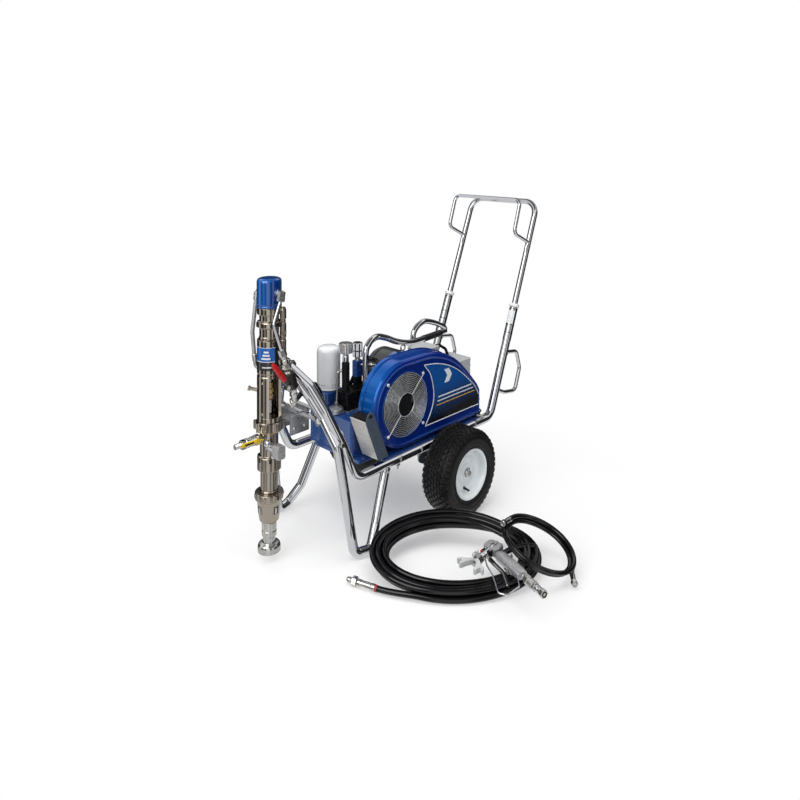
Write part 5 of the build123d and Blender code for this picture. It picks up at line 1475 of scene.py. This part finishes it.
valve = Piece("hydraulic_ball_valve")
way = Vector((0.3, 0, -1)).normalized()
start = Vector((-682, -98, 658))
valve.lathe(start, way, [(0, 0), (13, 0), (13, 10), (0, 10)], ZINC, 28, 0.8)
u, v = across(way)
valve.prism(soften([(15, -15), (19, 0), (15, 15), (0, 19), (-15, 15), (-19, 0), (-15, -15), (0, -19)], 4,
                   3, True), start + way * 10, u, v, 56, PHOSPHATE, 2.5)
valve.nut(start + way * 12, way, 35, 12, PHOSPHATE, count=8)
valve.lathe(start + way * 66, way, [(0, 0), (12, 0), (12, 12), (0, 12)], ZINC, 28, 0.8)
valve.nut(start + way * 70, way, 24, 9, ZINC)
valve.block((PUMP_X + 12, -60, 632), (22, 48, 26), PHOSPHATE, 2, 4, X, Y)
valve.rod((RED_X, -90, RED_Z), (RED_X, -122.5, RED_Z), 5.9, ZINC, 20)
valve.nut((RED_X, -117, RED_Z), NEAR, 16, 0.9, ZINC, edge=0.2)
valve.tube([(-660, -98, 584), (-652, -92, 556), (-640, -72, 532)], 9, ZINC, 12, 18, 6)
valve.nut((-658, -97, 578), (0.25, 0.2, -0.95), 24, 12, ZINC)
valve.nut((-647, -83, 546), (0.4, 0.62, -0.68), 23, 13, ZINC)
valve.lathe((RED_X, -98, RED_Z), NEAR, [(0, 0), (10, 0), (10, 17), (8, 19), (0, 19)], PHOSPHATE, 24, 1)
valve.done("pump", "control_valve")

red = Piece("red_valve_lever")
turn = atan2(701 - RED_Z, -762 - RED_X)
along = Vector((cos(turn), 0, sin(turn)))
side_dir = Vector((-sin(turn), 0, cos(turn)))
red.lathe((RED_X, -118, RED_Z), NEAR, [(6.2, 0), (11, 0), (11, 5), (6.2, 5)], ZINC, 28, 0.6, wrap=True)
outline = soften([(8, -5.5), (34, -7), (44, -7.4), (44, 7.4), (34, 7), (8, 5.5)], 2, 2, True)
red.prism(outline, (RED_X, -121.5, RED_Z), along, side_dir, -2.4, ZINC, 0.5)
loops = []
for step in range(15):
    s = step / 14
    reach = 36 + 84 * s
    wide = 8.4 + 1.6 * sin(pi * min(1, s * 1.15)) - (7.2 * max(0, s - 0.86) / 0.14) * 0.8
    thick = 3.6 + 0.7 * sin(pi * s) - (2.2 * max(0, s - 0.86) / 0.14)
    lift = -1.4 * sin(pi * s * 0.9)
    loops.append([Vector((RED_X, -120.5 + lift, RED_Z)) + along * reach + side_dir * (wide * cos(t))
                  + Vector((0, thick * sin(t), 0)) for t in turns(20)])
red.loft(loops, RED_GRIP)
red.nut((RED_X, -122.6, RED_Z), NEAR, 15, 6, ZINC)
red.done("hydraulic_lever", "red_lever")

braid = Piece("braided_return_hose")
path = bend([(PUMP_X - 6, 64, 888), (PUMP_X - 22, 66, 760), (PUMP_X - 16, 62, 668)], 60, 10)


def braid_material():
    """Grey woven steel braid."""
    material, tree, shader = nodes_of("steel_braid")
    where = place_of(tree)
    waves = []
    for lean_by in (0.8, -0.8):
        mapping = tree.nodes.new("ShaderNodeMapping")
        mapping.inputs["Rotation"].default_value = (lean_by, lean_by, 0)
        link(tree, where, mapping.inputs["Vector"])
        wave = tree.nodes.new("ShaderNodeTexWave")
        wave.inputs["Scale"].default_value = 140
        wave.inputs["Distortion"].default_value = 0.6
        link(tree, mapping.outputs["Vector"], wave.inputs["Vector"])
        waves.append(wave.outputs["Fac"])
    weave = arithmetic(tree, "MAXIMUM", *waves)
    tone = blend_colours(tree, weave, (0.12, 0.12, 0.12), (0.52, 0.53, 0.54))
    link(tree, tone, shader.inputs["Base Color"])
    link(tree, bump(tree, weave, 0.7, 0.0008), shader.inputs["Normal"])
    link(tree, remap(tree, noise(tree, where, 60), 0.3, 0.7, 0.34, 0.5), shader.inputs["Roughness"])
    shader.inputs["Metallic"].default_value = 0.7
    return material


BRAID = braid_material()
braid.tube(path, 7, BRAID, sides=20)
braid.tube([(PUMP_X, 38, 904), (PUMP_X - 3, 60, 903), (PUMP_X - 7, 65, 886)], 6.4, ZINC, 10, 18, 6)
braid.nut((PUMP_X - 1, 44, 904), (-0.1, 1, 0), 20, 9, ZINC)
braid.lathe((PUMP_X - 6, 64.4, 894), (-0.1, 0.02, -1), [(0, 0), (9, 0), (9, 26), (7.6, 28), (0, 28)],
            ZINC, 24, 0.8)
braid.lathe((PUMP_X - 16.6, 62.4, 684), (0.1, -0.05, -1), [(0, 0), (7.6, 0), (9, 2), (9, 24), (0, 26)],
            ZINC, 24, 0.8)
braid.tube([(PUMP_X - 15.5, 62, 664), (PUMP_X - 14, 58, 640), (PUMP_X + 2, 40, 629)], 6.4, ZINC, 14, 18, 6)
braid.done("pump", "return_hose")

outlet = Piece("outlet_ball_valve")
at = Vector((PUMP_X, 0, OUTLET_Z))
outlet.lathe(at + FRONT * 27, FRONT, [(0, 0), (12, 0), (12, 16), (0, 16)], CHROME, 32, 0.8)
outlet.nut(at + FRONT * 42, FRONT, 31, 17, CHROME)
outlet.lathe(at + FRONT * 58, FRONT, [(0, 0), (13, 0), (16, 4), (16.4, 14), (14.6, 17), (14.6, 24),
                                      (16.4, 27), (16, 37), (13, 41), (0, 42)], CHROME, 40, 1.2)
outlet.ball(at + FRONT * 58, 17, CHROME, 0.8, X)
outlet.nut(at + FRONT * 97, FRONT, 28, 16, CHROME)
threads = [(0, 0), (9.2, 0)]
for k in range(9):
    threads += [(8.2, 1.2 + k * 2.3), (9.4, 2.35 + k * 2.3)]
threads += [(8.4, 22), (0, 22)]
outlet.lathe(at + FRONT * 114, FRONT, threads, ZINC, 32)
outlet.lathe((YELLOW_X, -8, OUTLET_Z), NEAR, [(0, -6), (8, -6), (8, 9), (6, 11), (4, 11), (4, 22),
                                              (0, 22)], CHROME, 24, 0.5)
outlet.rod((DRAIN_X, -19, DRAIN_Z), (DRAIN_X, -58, DRAIN_Z), 11, CHROME, 32, 1.5)
outlet.nut((DRAIN_X, -24, DRAIN_Z), NEAR, 26, 12, CHROME)
outlet.rod((DRAIN_X, -56, DRAIN_Z), (DRAIN_X, -78, DRAIN_Z), 4.9, ZINC, 20)
outlet.ball((DRAIN_X - 3, -22, DRAIN_Z + 12), 13, CHROME, 1.0)
outlet.tube([(DRAIN_X, -44, DRAIN_Z - 8), (DRAIN_X, -46, DRAIN_Z - 24),
             (DRAIN_X + 2, -46, DRAIN_Z - 30)], 6.5, CHROME, 4, 18, 4)
outlet.done("pump", "outlet_valve")

yellow = Piece("yellow_valve_lever")
yellow.lathe((YELLOW_X, -22, OUTLET_Z), NEAR, [(4.2, 0), (9, 0), (9, 3), (4.2, 3)], ZINC, 24, 0.4,
             wrap=True)
stem = [(9, -6), (9, 8), (-14, 14), (-22, 14.4), (-24, 1), (-18, 0), (-6, -8)]
yellow.prism(soften([(YELLOW_X + a, OUTLET_Z + b) for a, b in stem], 3, 3, True), (0, -22.5, 0), X, Z,
             2.6, YELLOW_GRIP, 0.6)
loops = []
for step in range(13):
    s = step / 12
    x = YELLOW_X - 16 - 61 * s
    tall = 7.4 - 3.6 * max(0, s - 0.85) / 0.15
    deep = 3.6 - 1.5 * max(0, s - 0.85) / 0.15
    loops.append([Vector((x, -25 + deep * cos(t), OUTLET_Z + 7.8 + tall * sin(t))) for t in turns(20)])
yellow.loft(loops, YELLOW_GRIP)
yellow.block((YELLOW_X - 46, -28.5, OUTLET_Z + 8), (34, 6, 0.7), SHADE_BLACK, 0.2, 1, X, Z)
yellow.nut((YELLOW_X, -25.2, OUTLET_Z), NEAR, 9, 4, ZINC)
yellow.done("fluid_lever", "yellow_lever")

drain = Piece("drain_valve_knob")
drain.prism(rectangle(32, 44, 6, 4), (DRAIN_X, -62, DRAIN_Z), X, Z, 34, GRIP_GREY, 2.6)
drain.prism(rectangle(22, 34, 5, 3), (DRAIN_X, -95.6, DRAIN_Z), X, Z, 1.2, GRIP_GREY, 0.5)
for side in (-1, 1):
    for k in range(4):
        drain.block((DRAIN_X + side * 15.8, -79, DRAIN_Z - 12 + k * 8), (1.4, 26, 2.6), GRIP_GREY, 0.4,
                    0.5, X, Y)
drain.done("drain", "drain_knob")

supply = Piece("hydraulic_supply_hose")
path = bend([(-639, -70, 530.5), (-622, -44, 516), (-560, -18, 534), (-468, 22, 532), (-424, 50, 490),
             (-401, 66, 446)], 22, 8)
supply.tube(path, 8.8, RUBBER, sides=20)
for spot, way in (((-639, -70, 530.5), (17, 26, -20)), ((-401, 66, 446), (-69, -46, 54))):
    way = Vector(way).normalized()
    supply.lathe(Vector(spot), way, [(0, 0), (9, 0), (10.6, 2), (10.6, 20), (9.6, 22), (0, 22)], ZINC,
                 24, 0.8)
    supply.nut(Vector(spot) + way * 3, way, 22, 8, ZINC)
supply.done("chassis", "supply_hose")

# ======================================================================= hose coil
# the coil lies along the camera's level view, with RIGHT across it and IN away from it
IN = VIEW_WAY
RIGHT = Vector((IN.y, -IN.x, 0))
COIL_TILT = radians(10)
COIL_MID = Vector((-298, -487, 21 + 198 * sin(COIL_TILT)))
COIL_IN = IN * cos(COIL_TILT) + Z * sin(COIL_TILT)
COIL_UP = Z * cos(COIL_TILT) - IN * sin(COIL_TILT)


def coil_point(a, b, c):
    """Point of the leaning coil: along its long side, its short side and out of its plane."""
    return COIL_MID + RIGHT * a + COIL_IN * b + COIL_UP * c


def eased(t):
    """Share t from 0 to 1 with a slow start and end."""
    t = max(0.0, min(1.0, t))
    return t * t * (3 - 2 * t)


def spiral(strands, first_step, steps_per_turn):
    """Lay strands turn by turn, each a (column, layer height).

    A strand shifts over to the next one in the last fifth of its turn.
    """
    out = []
    for index, (column, height) in enumerate(strands):
        after = strands[min(index + 1, len(strands) - 1)]
        for s in range(steps_per_turn):
            share = eased((s / steps_per_turn - 0.80) / 0.20)
            out.append((first_step - 2 * pi * (index + s / steps_per_turn),
                        column + (after[0] - column) * share, height + (after[1] - height) * share))
    return out


HOSE_R = 9.2
COIL_STEPS = 72
STRAND_PITCH = 18.8
COIL_LONG, COIL_SHORT = 221.8, 135.8  # half axes of the innermost strand
strands = [(2.55, 6.9), (1.55, 6.9), (0.5, 6.9), (0, -9.6), (1, -9.6), (2, -9.6), (3, -9.6)]
coil_path = []
for turn, column, height in spiral(strands, radians(20), COIL_STEPS):
    drift = 2.2 * sin(2 * turn + 0.6) + 1.4 * sin(3 * turn + 2.0)
    loose = eased((height + 9.6) / 16) * (3.2 * sin(turn * 1.37 + 0.8) + 2.0 * sin(turn * 2.21))
    spread = STRAND_PITCH * column + drift + loose
    a = (COIL_LONG + spread) * cos(turn)
    b = (COIL_SHORT + spread) * sin(turn)
    coil_path.append(coil_point(a, b, height + 1.1 * sin(2.6 * turn)))
# the tail leaves the outer strand on the near left, towards its fitting
cut = next(i for i in range(len(coil_path) - COIL_STEPS, len(coil_path))
           if (coil_path[i] - COIL_MID).dot(RIGHT) < -120 and (coil_path[i] - COIL_MID).dot(IN) < 0)
TAIL_WAY = Vector((-0.28, 0.95, 0)).normalized()
TAIL_FOOT = Vector((-566, -392, 14))
leave, heading = coil_path[cut - 1], (coil_path[cut - 1] - coil_path[cut - 3]).normalized()
reach = (TAIL_FOOT - leave).length
tail = [ease(leave, TAIL_FOOT, heading * reach, TAIL_WAY * reach, s / 14) for s in range(1, 15)]
# the other end comes up from the inner side to its fitting
begin = coil_path[4]
begin_way = (coil_path[5] - coil_path[3]).normalized()
hose_start = coil_point(150, -60, 20)
entry = Vector((0.55, 0.8, 0.0)).normalized()
reach = (begin - hose_start).length
lead = [ease(hose_start, begin, entry * reach * 1.1, begin_way * reach, s / 12) for s in range(12)]


def hose_end(piece, foot, way, bore, scale=1.0):
    """Crimped ferrule, hexagon and cone of a hose end, with the band at its foot."""
    piece.lathe(foot + way * -7, way, [(bore, 0), (bore + 1.2, 0.4), (bore + 1.2, 6.4), (bore, 7)],
                RED_BAND, 28, wrap=True)
    piece.lathe(foot, way, [(0, 0), (10.6 * scale, 0), (11 * scale, 2), (11 * scale, 12 * scale),
                            (10 * scale, 14 * scale), (10 * scale, 50 * scale), (11 * scale, 52 * scale),
                            (11 * scale, 62 * scale), (8 * scale, 66 * scale), (0, 66 * scale)], ZINC,
                32, 0.8)
    for k in range(8):
        turn = 2 * pi * k / 8
        u, v = across(way)
        side = u * cos(turn) + v * sin(turn)
        piece.block(foot + way * 32 * scale + side * 9.9 * scale, (34 * scale, 3.4 * scale, 1.6), ZINC,
                    0.5, 0.8, way, way.cross(side))
    piece.nut(foot + way * 66 * scale, way, 27 * scale, 16 * scale, ZINC)
    piece.lathe(foot + way * 82 * scale, way, [(0, 0), (9 * scale, 0), (9 * scale, 4 * scale),
                                               (7.6 * scale, 6 * scale), (9 * scale, 8 * scale),
                                               (9 * scale, 16 * scale), (6 * scale, 21 * scale),
                                               (0, 21 * scale)], ZINC, 28, 0.6)


coil = Piece("paint_hose_coil")
coil.tube(lead + coil_path[4:cut] + tail, HOSE_R, RUBBER, sides=16)
coil.done("hose", "hose_coil")

ends = Piece("paint_hose_fittings")
hose_end(ends, TAIL_FOOT, TAIL_WAY, HOSE_R)
hose_end(ends, hose_start, Vector((-0.55, -0.8, 0.12)).normalized(), HOSE_R, 0.9)
ends.done("hose", "coil_fittings")

# ======================================================================= whip hose
WHIP_MID = Vector((-112, -698, 84))
WHIP_X = (RIGHT - Z * 0.4).normalized()
WHIP_UP = (Z + RIGHT * 0.4 - IN * 0.2).normalized()
WHIP_Y = WHIP_UP.cross(WHIP_X).normalized()
WHIP_X = WHIP_Y.cross(WHIP_UP).normalized()
WHIP_R = 7.7
WHIP_STEPS = 60
WHIP_INNER, WHIP_PITCH = 110.2, 15.6


def whip_point(radius, turn, height):
    """Point of the tilted whip hose ring."""
    return WHIP_MID + WHIP_X * (radius * cos(turn)) + WHIP_Y * (radius * sin(turn)) + WHIP_UP * height


whip_path = []
for turn, column, height in spiral([(0.5, 6.6), (0, -7.0), (1, -7.0)], radians(150), WHIP_STEPS):
    drift = 1.6 * sin(2 * turn + 1.0)
    whip_path.append(whip_point(WHIP_INNER + WHIP_PITCH * column + drift, turn,
                                height + 0.9 * sin(3 * turn)))
WHIP_FOOT = Vector((-88, -806, 22))
WHIP_WAY = Vector((-0.72, -0.62, -0.1)).normalized()
whip = Piece("whip_hose_loops")
nearest = min(range(len(whip_path) - WHIP_STEPS, len(whip_path)),
              key=lambda i: (whip_path[i] - WHIP_FOOT).length)
leave_at = max(nearest - 6, 2)
leave, heading = whip_path[leave_at], (whip_path[leave_at] - whip_path[leave_at - 2]).normalized()
reach = (WHIP_FOOT - leave).length
whip_tail = [ease(leave, WHIP_FOOT, heading * reach, WHIP_WAY * reach, s / 10) for s in range(1, 11)]
whip.tube(whip_path[:leave_at + 1] + whip_tail, WHIP_R, RUBBER, sides=16)
whip.done("whip", "whip_hose")

whip_ends = Piece("whip_hose_fittings")


def small_end(piece, foot, way):
    """Ferrule and hexagon of a whip hose end."""
    piece.lathe(foot, way, [(0, -3), (8, -3), (8.8, 0), (8.8, 8), (8, 9), (8, 26), (8.8, 27), (8.8, 33),
                            (5, 35), (0, 35)], ZINC, 28, 0.6)
    piece.nut(foot + way * 34, way, 19, 13, ZINC)
    piece.lathe(foot + way * 46, way, [(5, 0), (8, 0), (8, 4), (5, 4)], ZINC, 24, 0.5, wrap=True)


small_end(whip_ends, WHIP_FOOT, WHIP_WAY)
small_end(whip_ends, whip_path[0], (whip_path[0] - whip_path[2]).normalized())
whip_ends.done("whip", "whip_fittings")

# ======================================================================= spray gun
GUN = Vector((-252, -600, GUN_Z))
AIM = Vector((-1, -0.05, 0)).normalized()
SIDE = Z.cross(AIM)
HANDLE_FOOT = Vector((-246, -630, GUN_Z))
HANDLE_WAY = Vector((-0.32, -0.947, 0)).normalized()
HANDLE_SIDE = Z.cross(HANDLE_WAY)

gun = Piece("spray_gun_body")
gun.lathe(GUN + AIM * -50, AIM, [(0, 0), (11, 0), (14, 3), (14, 22), (12, 24), (12, 27), (14, 29),
                                 (14, 48), (12.6, 50), (12.6, 88), (14, 90), (14, 104), (0, 104)],
          CHROME, 36, 1)
gun.lathe(GUN + AIM * -38, AIM, [(13.8, 0), (15.2, 1), (15.2, 15), (13.8, 16)], KNURLED, 36, 0.4, wrap=True)
gun.nut(GUN + AIM * 54, AIM, 29, 20, ZINC)
gun.nut(GUN + AIM * 58, AIM, 30, 9, ZINC)
# forged block with the valve housing
body_shape = soften([(-48, -20), (-40, -28), (-6, -28), (4, -18), (4, 20), (-10, 28), (-40, 28),
                     (-48, 18)], 7, 4, True)
gun.prism(body_shape, GUN - Z * 13, AIM, SIDE, 26, GRIP_GREY, 4)
gun.prism(soften([(-2, -15), (22, -15), (26, -8), (26, 8), (22, 15), (-2, 15)], 4, 3, True),
          GUN - Z * 12, AIM, SIDE, 24, IRON, 3)
for spot in (-14, 14):
    gun.screw(GUN + AIM * 8 + SIDE * spot * 0.7 + Z * 11, Z, 4, 3, ZINC)
gun.screw(GUN + AIM * -20 + Z * 12, Z, 8, 4, ZINC)
gun.lathe(GUN + AIM * -24 - SIDE * 24, SIDE * -1, [(0, 0), (9, 0), (9, 6), (7, 8), (0, 8)], ZINC, 24, 0.8)
# safety latch
gun.block(GUN + AIM * 14 - SIDE * 18 + Z * 2, (18, 8, 6), RED_GRIP, 1.2, 2.5, AIM, SIDE)
gun.tube([(-296, -616, GUN_Z), (-320, -640, GUN_Z), (-350, -686, GUN_Z), (-408, -748, GUN_Z),
          (-398, -774, GUN_Z), (-340, -776, GUN_Z), (-304, -744, GUN_Z)], 2.4, CHROME, 14, 12, 6)
gun.done("gun", "gun_body")

grip = Piece("gun_grip")
loops = []
for step in range(21):
    s = step / 20
    along = 2 + 128 * s
    wide = 19.0 + 1.6 * sin(pi * s) - 3.0 * max(0, 0.08 - s) / 0.08 - 2.0 * max(0, s - 0.94) / 0.06
    deep = 12.4 + 0.9 * sin(pi * s) - 1.6 * max(0, 0.08 - s) / 0.08 - 1.6 * max(0, s - 0.94) / 0.06
    section = []
    for t in turns(28):
        x = abs(cos(t)) ** 0.62 * (1 if cos(t) > 0 else -1)
        y = abs(sin(t)) ** 0.62 * (1 if sin(t) > 0 else -1)
        section.append(HANDLE_FOOT + HANDLE_WAY * along + HANDLE_SIDE * (wide * x * 0.98) + Z * (deep * y))
    loops.append(section)
grip.loft(loops, GRIP_GREY)
for k in range(13):
    spot = HANDLE_FOOT + HANDLE_WAY * (18 + k * 8) + Z * 12.6
    grip.block(spot, (30, 2.6, 1.6), GRIP_GREY, 0.5, 1, HANDLE_SIDE, HANDLE_WAY)
# hook under the grip
grip.tube([HANDLE_FOOT + HANDLE_WAY * 30 - HANDLE_SIDE * -18, HANDLE_FOOT + HANDLE_WAY * 34
           + HANDLE_SIDE * 30, HANDLE_FOOT + HANDLE_WAY * 22 + HANDLE_SIDE * 36], 3.6, GRIP_GREY, 6, 12,
          5)
grip.done("gun", "gun_handle")

swivel = Piece("gun_inlet_swivel")
at = HANDLE_FOOT + HANDLE_WAY * 130.5
swivel.lathe(at, HANDLE_WAY, [(0, 0), (8, 0), (8, 5), (6.6, 6), (6.6, 10), (8, 11), (8, 14), (0, 14)],
             CHROME, 28, 0.6)
swivel.nut(at + HANDLE_WAY * 13.5, HANDLE_WAY, 25, 17, ZINC)
swivel.lathe(at + HANDLE_WAY * 30, HANDLE_WAY, [(0, 0), (12.6, 0), (12.6, 28), (0, 28)], KNURLED, 36, 1.2)
for k in range(22):
    turn = 2 * pi * k / 22
    u, v = across(HANDLE_WAY)
    side = u * cos(turn) + v * sin(turn)
    swivel.block(at + HANDLE_WAY * 44 + side * 12.4, (22, 1.6, 1.6), KNURLED, 0.5, 0.6, HANDLE_WAY,
                 HANDLE_WAY.cross(side))
swivel.nut(at + HANDLE_WAY * 57, HANDLE_WAY, 25, 8, ZINC)
swivel.lathe(at + HANDLE_WAY * 64, HANDLE_WAY, [(0, 0), (9, 0), (9, 3), (11, 5), (11, 12), (9, 14),
                                                (9, 18), (11, 20), (11, 26), (0, 26)], CHROME, 32, 0.8)
swivel.nut(at + HANDLE_WAY * 89.5, HANDLE_WAY, 23, 13.5, ZINC)
swivel.lathe(at + HANDLE_WAY * 102.6, HANDLE_WAY, [(5, 0), (9, 0), (9, 1.4), (5, 1.4)], SHADE_BLACK, 24, 0.2,
             wrap=True)
swivel.done("swivel", "gun_swivel")

guard_piece = Piece("tip_guard_moulded")
guard_piece.lathe(GUN + AIM * 74.5, AIM, [(7.2, 0), (15, 0), (15, 8), (13, 12), (7.2, 12)], TIP_GREY, 36,
                  1, wrap=True)
for wing in (-1, 1):
    shape = [(75, wing * 9), (88, wing * 8.5), (106, wing * 18), (125, wing * 23), (126, wing * 31),
             (108, wing * 33), (104, wing * 38), (113, wing * 45), (110, wing * 50), (99, wing * 47),
             (92, wing * 33), (84, wing * 22), (75, wing * 15)]
    guard_piece.prism(soften(shape, 3, 3, True), GUN - Z * 8.8, AIM, SIDE, 17.6, TIP_GREY, 1.6)
guard_piece.done("guard", "tip_guard")

tip = Piece("reversible_spray_tip")
pivot = GUN + AIM * 81
tip.rod(pivot + Z * 15.4, pivot + Z * 28, 4, PLASTIC, 20)
arrow = soften([(-17, -3.2), (6, -4), (6, -7), (17, 0), (6, 7), (6, 4), (-17, 3.2)], 1.2, 2, True)
tip.prism(arrow, pivot + Z * 24, AIM, SIDE, 8, TIP_GREY, 1.4)
tip.lathe(pivot + Z * 31.6, Z, [(0, 0), (3.4, 0), (3.4, 0.7), (0, 0.9)], ZINC, 20, 0.2)
tip.done("tip", "spray_tip")

trigger = Piece("gun_trigger_lever")
path = bend([(-286, -626, GUN_Z), (-298, -654, GUN_Z), (-318, -704, GUN_Z), (-360, -750, GUN_Z)], 18, 8)
loops = []
for i, point in enumerate(path):
    way = (path[min(i + 1, len(path) - 1)] - path[max(i - 1, 0)]).normalized()
    flat = Z.cross(way)
    wide, deep = 9.0 - 3.0 * i / (len(path) - 1), 4.4
    loops.append([point + Z * (wide * (abs(cos(t)) ** 0.7) * (1 if cos(t) > 0 else -1))
                  + flat * (deep * sin(t)) for t in turns(20)])
trigger.loft(loops, PLASTIC)
trigger.tube([p + Vector((-3.4, 1.6, 3)) for p in path[2:]], 2.2, CHROME, sides=12)
trigger.rod((-286, -626, GUN_Z - 7), (-286, -626, GUN_Z + 7), 6, ZINC, 24)
trigger.done("trigger", "gun_trigger")


# ======================================================================= stage
def ramp_of(tree, value, stops):
    """Grey ramp through (place, level) stops."""
    node = tree.nodes.new("ShaderNodeValToRGB")
    ramp = node.color_ramp
    ramp.elements[0].position, ramp.elements[1].position = stops[0][0], stops[-1][0]
    ramp.elements[0].color = (*(stops[0][1],) * 3, 1)
    ramp.elements[1].color = (*(stops[-1][1],) * 3, 1)
    for position, level in stops[1:-1]:
        ramp.elements.new(position).color = (level, level, level, 1)
    link(tree, value, node.inputs["Fac"])
    return node.outputs["Color"]


FLOOR_REACH = 14.0
CAMERA_AT = (-2148.3, -2015.9, 1422.7)
CAMERA_LENS = 32.5665
LENS_SHIFT = -0.32725


def stage():
    """Pale seamless floor, soft lights and the camera."""
    material, tree, shader = nodes_of("paper_floor")
    where = place_of(tree)
    paths = tree.nodes.new("ShaderNodeLightPath")
    tone = remap(tree, noise(tree, where, 3.0, 4.0), 0.3, 0.7, 0.93, 0.955)
    link(tree, tone, shader.inputs["Base Color"])
    shader.inputs["Roughness"].default_value = 0.7
    shader.inputs["Specular IOR Level"].default_value = 0.15
    # away from the machine the paper turns into plain white light
    away = tree.nodes.new("ShaderNodeVectorMath")
    away.operation = "DISTANCE"
    link(tree, where, away.inputs[0])
    away.inputs[1].default_value = place((-150, -250, 0))
    glow = tree.nodes.new("ShaderNodeEmission")
    dim = remap(tree, away.outputs["Value"], 1.4, 2.6, 0.30, 0.03)
    link(tree, arithmetic(tree, "MAXIMUM", dim, paths.outputs["Is Camera Ray"]), glow.inputs["Strength"])
    fade = tree.nodes.new("ShaderNodeMixShader")
    link(tree, remap(tree, away.outputs["Value"], 0.30, 1.15, 0.30, 1.0), fade.inputs[0])
    link(tree, shader.outputs[0], fade.inputs[1])
    link(tree, glow.outputs[0], fade.inputs[2])
    link(tree, fade.outputs[0], tree.nodes["Material Output"].inputs["Surface"])
    mesh = bpy.data.meshes.new("floor")
    points = [(x * FLOOR_REACH, y * FLOOR_REACH, BASE.z) for x, y in ((-1, -1), (1, -1), (1, 1), (-1, 1))]
    mesh.from_pydata(points, [], [(0, 1, 2, 3)])
    mesh.materials.append(material)
    floor = bpy.data.objects.new("floor", mesh)
    bpy.context.scene.collection.objects.link(floor)
    # plated tubes mirror the banded world below as well, so the paper is hidden from reflections
    floor.visible_glossy = False

    world = bpy.data.worlds.new("studio")
    bpy.context.scene.world = world
    world.use_nodes = True
    tree = world.node_tree
    tree.nodes.clear()
    out = tree.nodes.new("ShaderNodeOutputWorld")
    mixer = tree.nodes.new("ShaderNodeMixShader")
    paths = tree.nodes.new("ShaderNodeLightPath")
    white = tree.nodes.new("ShaderNodeBackground")
    white.inputs["Color"].default_value = (1, 1, 1, 1)
    white.inputs["Strength"].default_value = 1.0
    studio = tree.nodes.new("ShaderNodeBackground")
    studio.inputs["Strength"].default_value = 1.0
    where = tree.nodes.new("ShaderNodeTexCoord")
    split = tree.nodes.new("ShaderNodeSeparateXYZ")
    link(tree, where.outputs["Generated"], split.inputs[0])
    # bands of light and dark round the horizon, so that plated tubes show both
    turn = arithmetic(tree, "ARCTAN2", split.outputs["Y"], split.outputs["X"])
    bands = ramp_of(tree, remap(tree, turn, -pi, pi, 0.0, 1.0), ((0.0, 0.55), (0.015, 0.55),
            (0.04, 0.06), (0.07, 0.10), (0.09, 1.0), (0.155, 1.0), (0.18, 0.06), (0.225, 0.05),
            (0.24, 0.9), (0.265, 0.9), (0.285, 0.03), (0.50, 0.02), (0.55, 0.14), (0.58, 0.02),
            (0.84, 0.02), (0.865, 0.85), (0.90, 0.85), (0.925, 0.03), (0.98, 0.05), (1.0, 0.55)))
    above = ramp_of(tree, remap(tree, split.outputs["Z"], -1.0, 1.0, 0.0, 1.0),
                    ((0.0, 0.80), (0.25, 0.75), (0.40, 0.30), (0.50, 0.02), (0.72, 0.02), (0.77, 0.95),
                     (0.86, 0.95), (0.90, 0.08), (1.0, 0.16)))
    share = ramp_of(tree, remap(tree, split.outputs["Z"], -1.0, 1.0, 0.0, 1.0),
                    ((0.0, 0.0), (0.26, 0.0), (0.32, 1.0), (0.66, 1.0), (0.76, 0.0), (1.0, 0.0)))
    mixed = blend_colours(tree, share, above, bands)
    link(tree, mixed, studio.inputs["Color"])
    link(tree, paths.outputs["Is Camera Ray"], mixer.inputs[0])
    link(tree, studio.outputs[0], mixer.inputs[1])
    link(tree, white.outputs[0], mixer.inputs[2])
    link(tree, mixer.outputs[0], out.inputs["Surface"])

    def softbox(name, at, aim, size, power, shines=False):
        """A soft light aimed at a point; only one that shines is mirrored by the plated parts."""
        lamp = bpy.data.lights.new(name, "AREA")
        lamp.shape = "RECTANGLE"
        lamp.size, lamp.size_y = size
        lamp.energy = power
        item = bpy.data.objects.new(name, lamp)
        item.location = place(at)
        item.rotation_euler = (place(aim) - place(at)).to_track_quat("-Z", "Y").to_euler()
        item.visible_glossy = shines
        bpy.context.scene.collection.objects.link(item)

    softbox("key", (-2400, -300, 1900), (-100, 0, 400), (1.9, 2.4), 40, True)
    softbox("overhead", (-300, -500, 3000), (-100, -100, 300), (2.6, 2.2), 45)
    softbox("fill", (900, -3000, 1100), (0, 0, 400), (1.2, 1.6), 16)
    softbox("back", (900, 2600, 1900), (0, 0, 500), (1.8, 1.4), 26)

    camera = bpy.data.cameras.new("camera")
    camera.sensor_width = 36
    camera.lens = CAMERA_LENS
    item = bpy.data.objects.new("camera", camera)
    item.location = place(CAMERA_AT)
    item.rotation_euler = VIEW_WAY.to_track_quat("-Z", "Y").to_euler()
    bpy.context.scene.collection.objects.link(item)
    bpy.context.scene.camera = item
    # the lens is shifted down at the camera's own place only, so that any other view stays centred
    shift = camera.driver_add("shift_y").driver
    shift.type = "SCRIPTED"
    variable = shift.variables.new()
    variable.name = "x"
    variable.type = "TRANSFORMS"
    variable.targets[0].id = item
    variable.targets[0].transform_type = "LOC_X"
    shift.expression = f"{LENS_SHIFT} * (abs(x - ({item.location.x:.5f})) < 0.002)"
    camera.clip_start, camera.clip_end = 0.05, 60
    bpy.context.scene.view_settings.view_transform = "Standard"


stage()
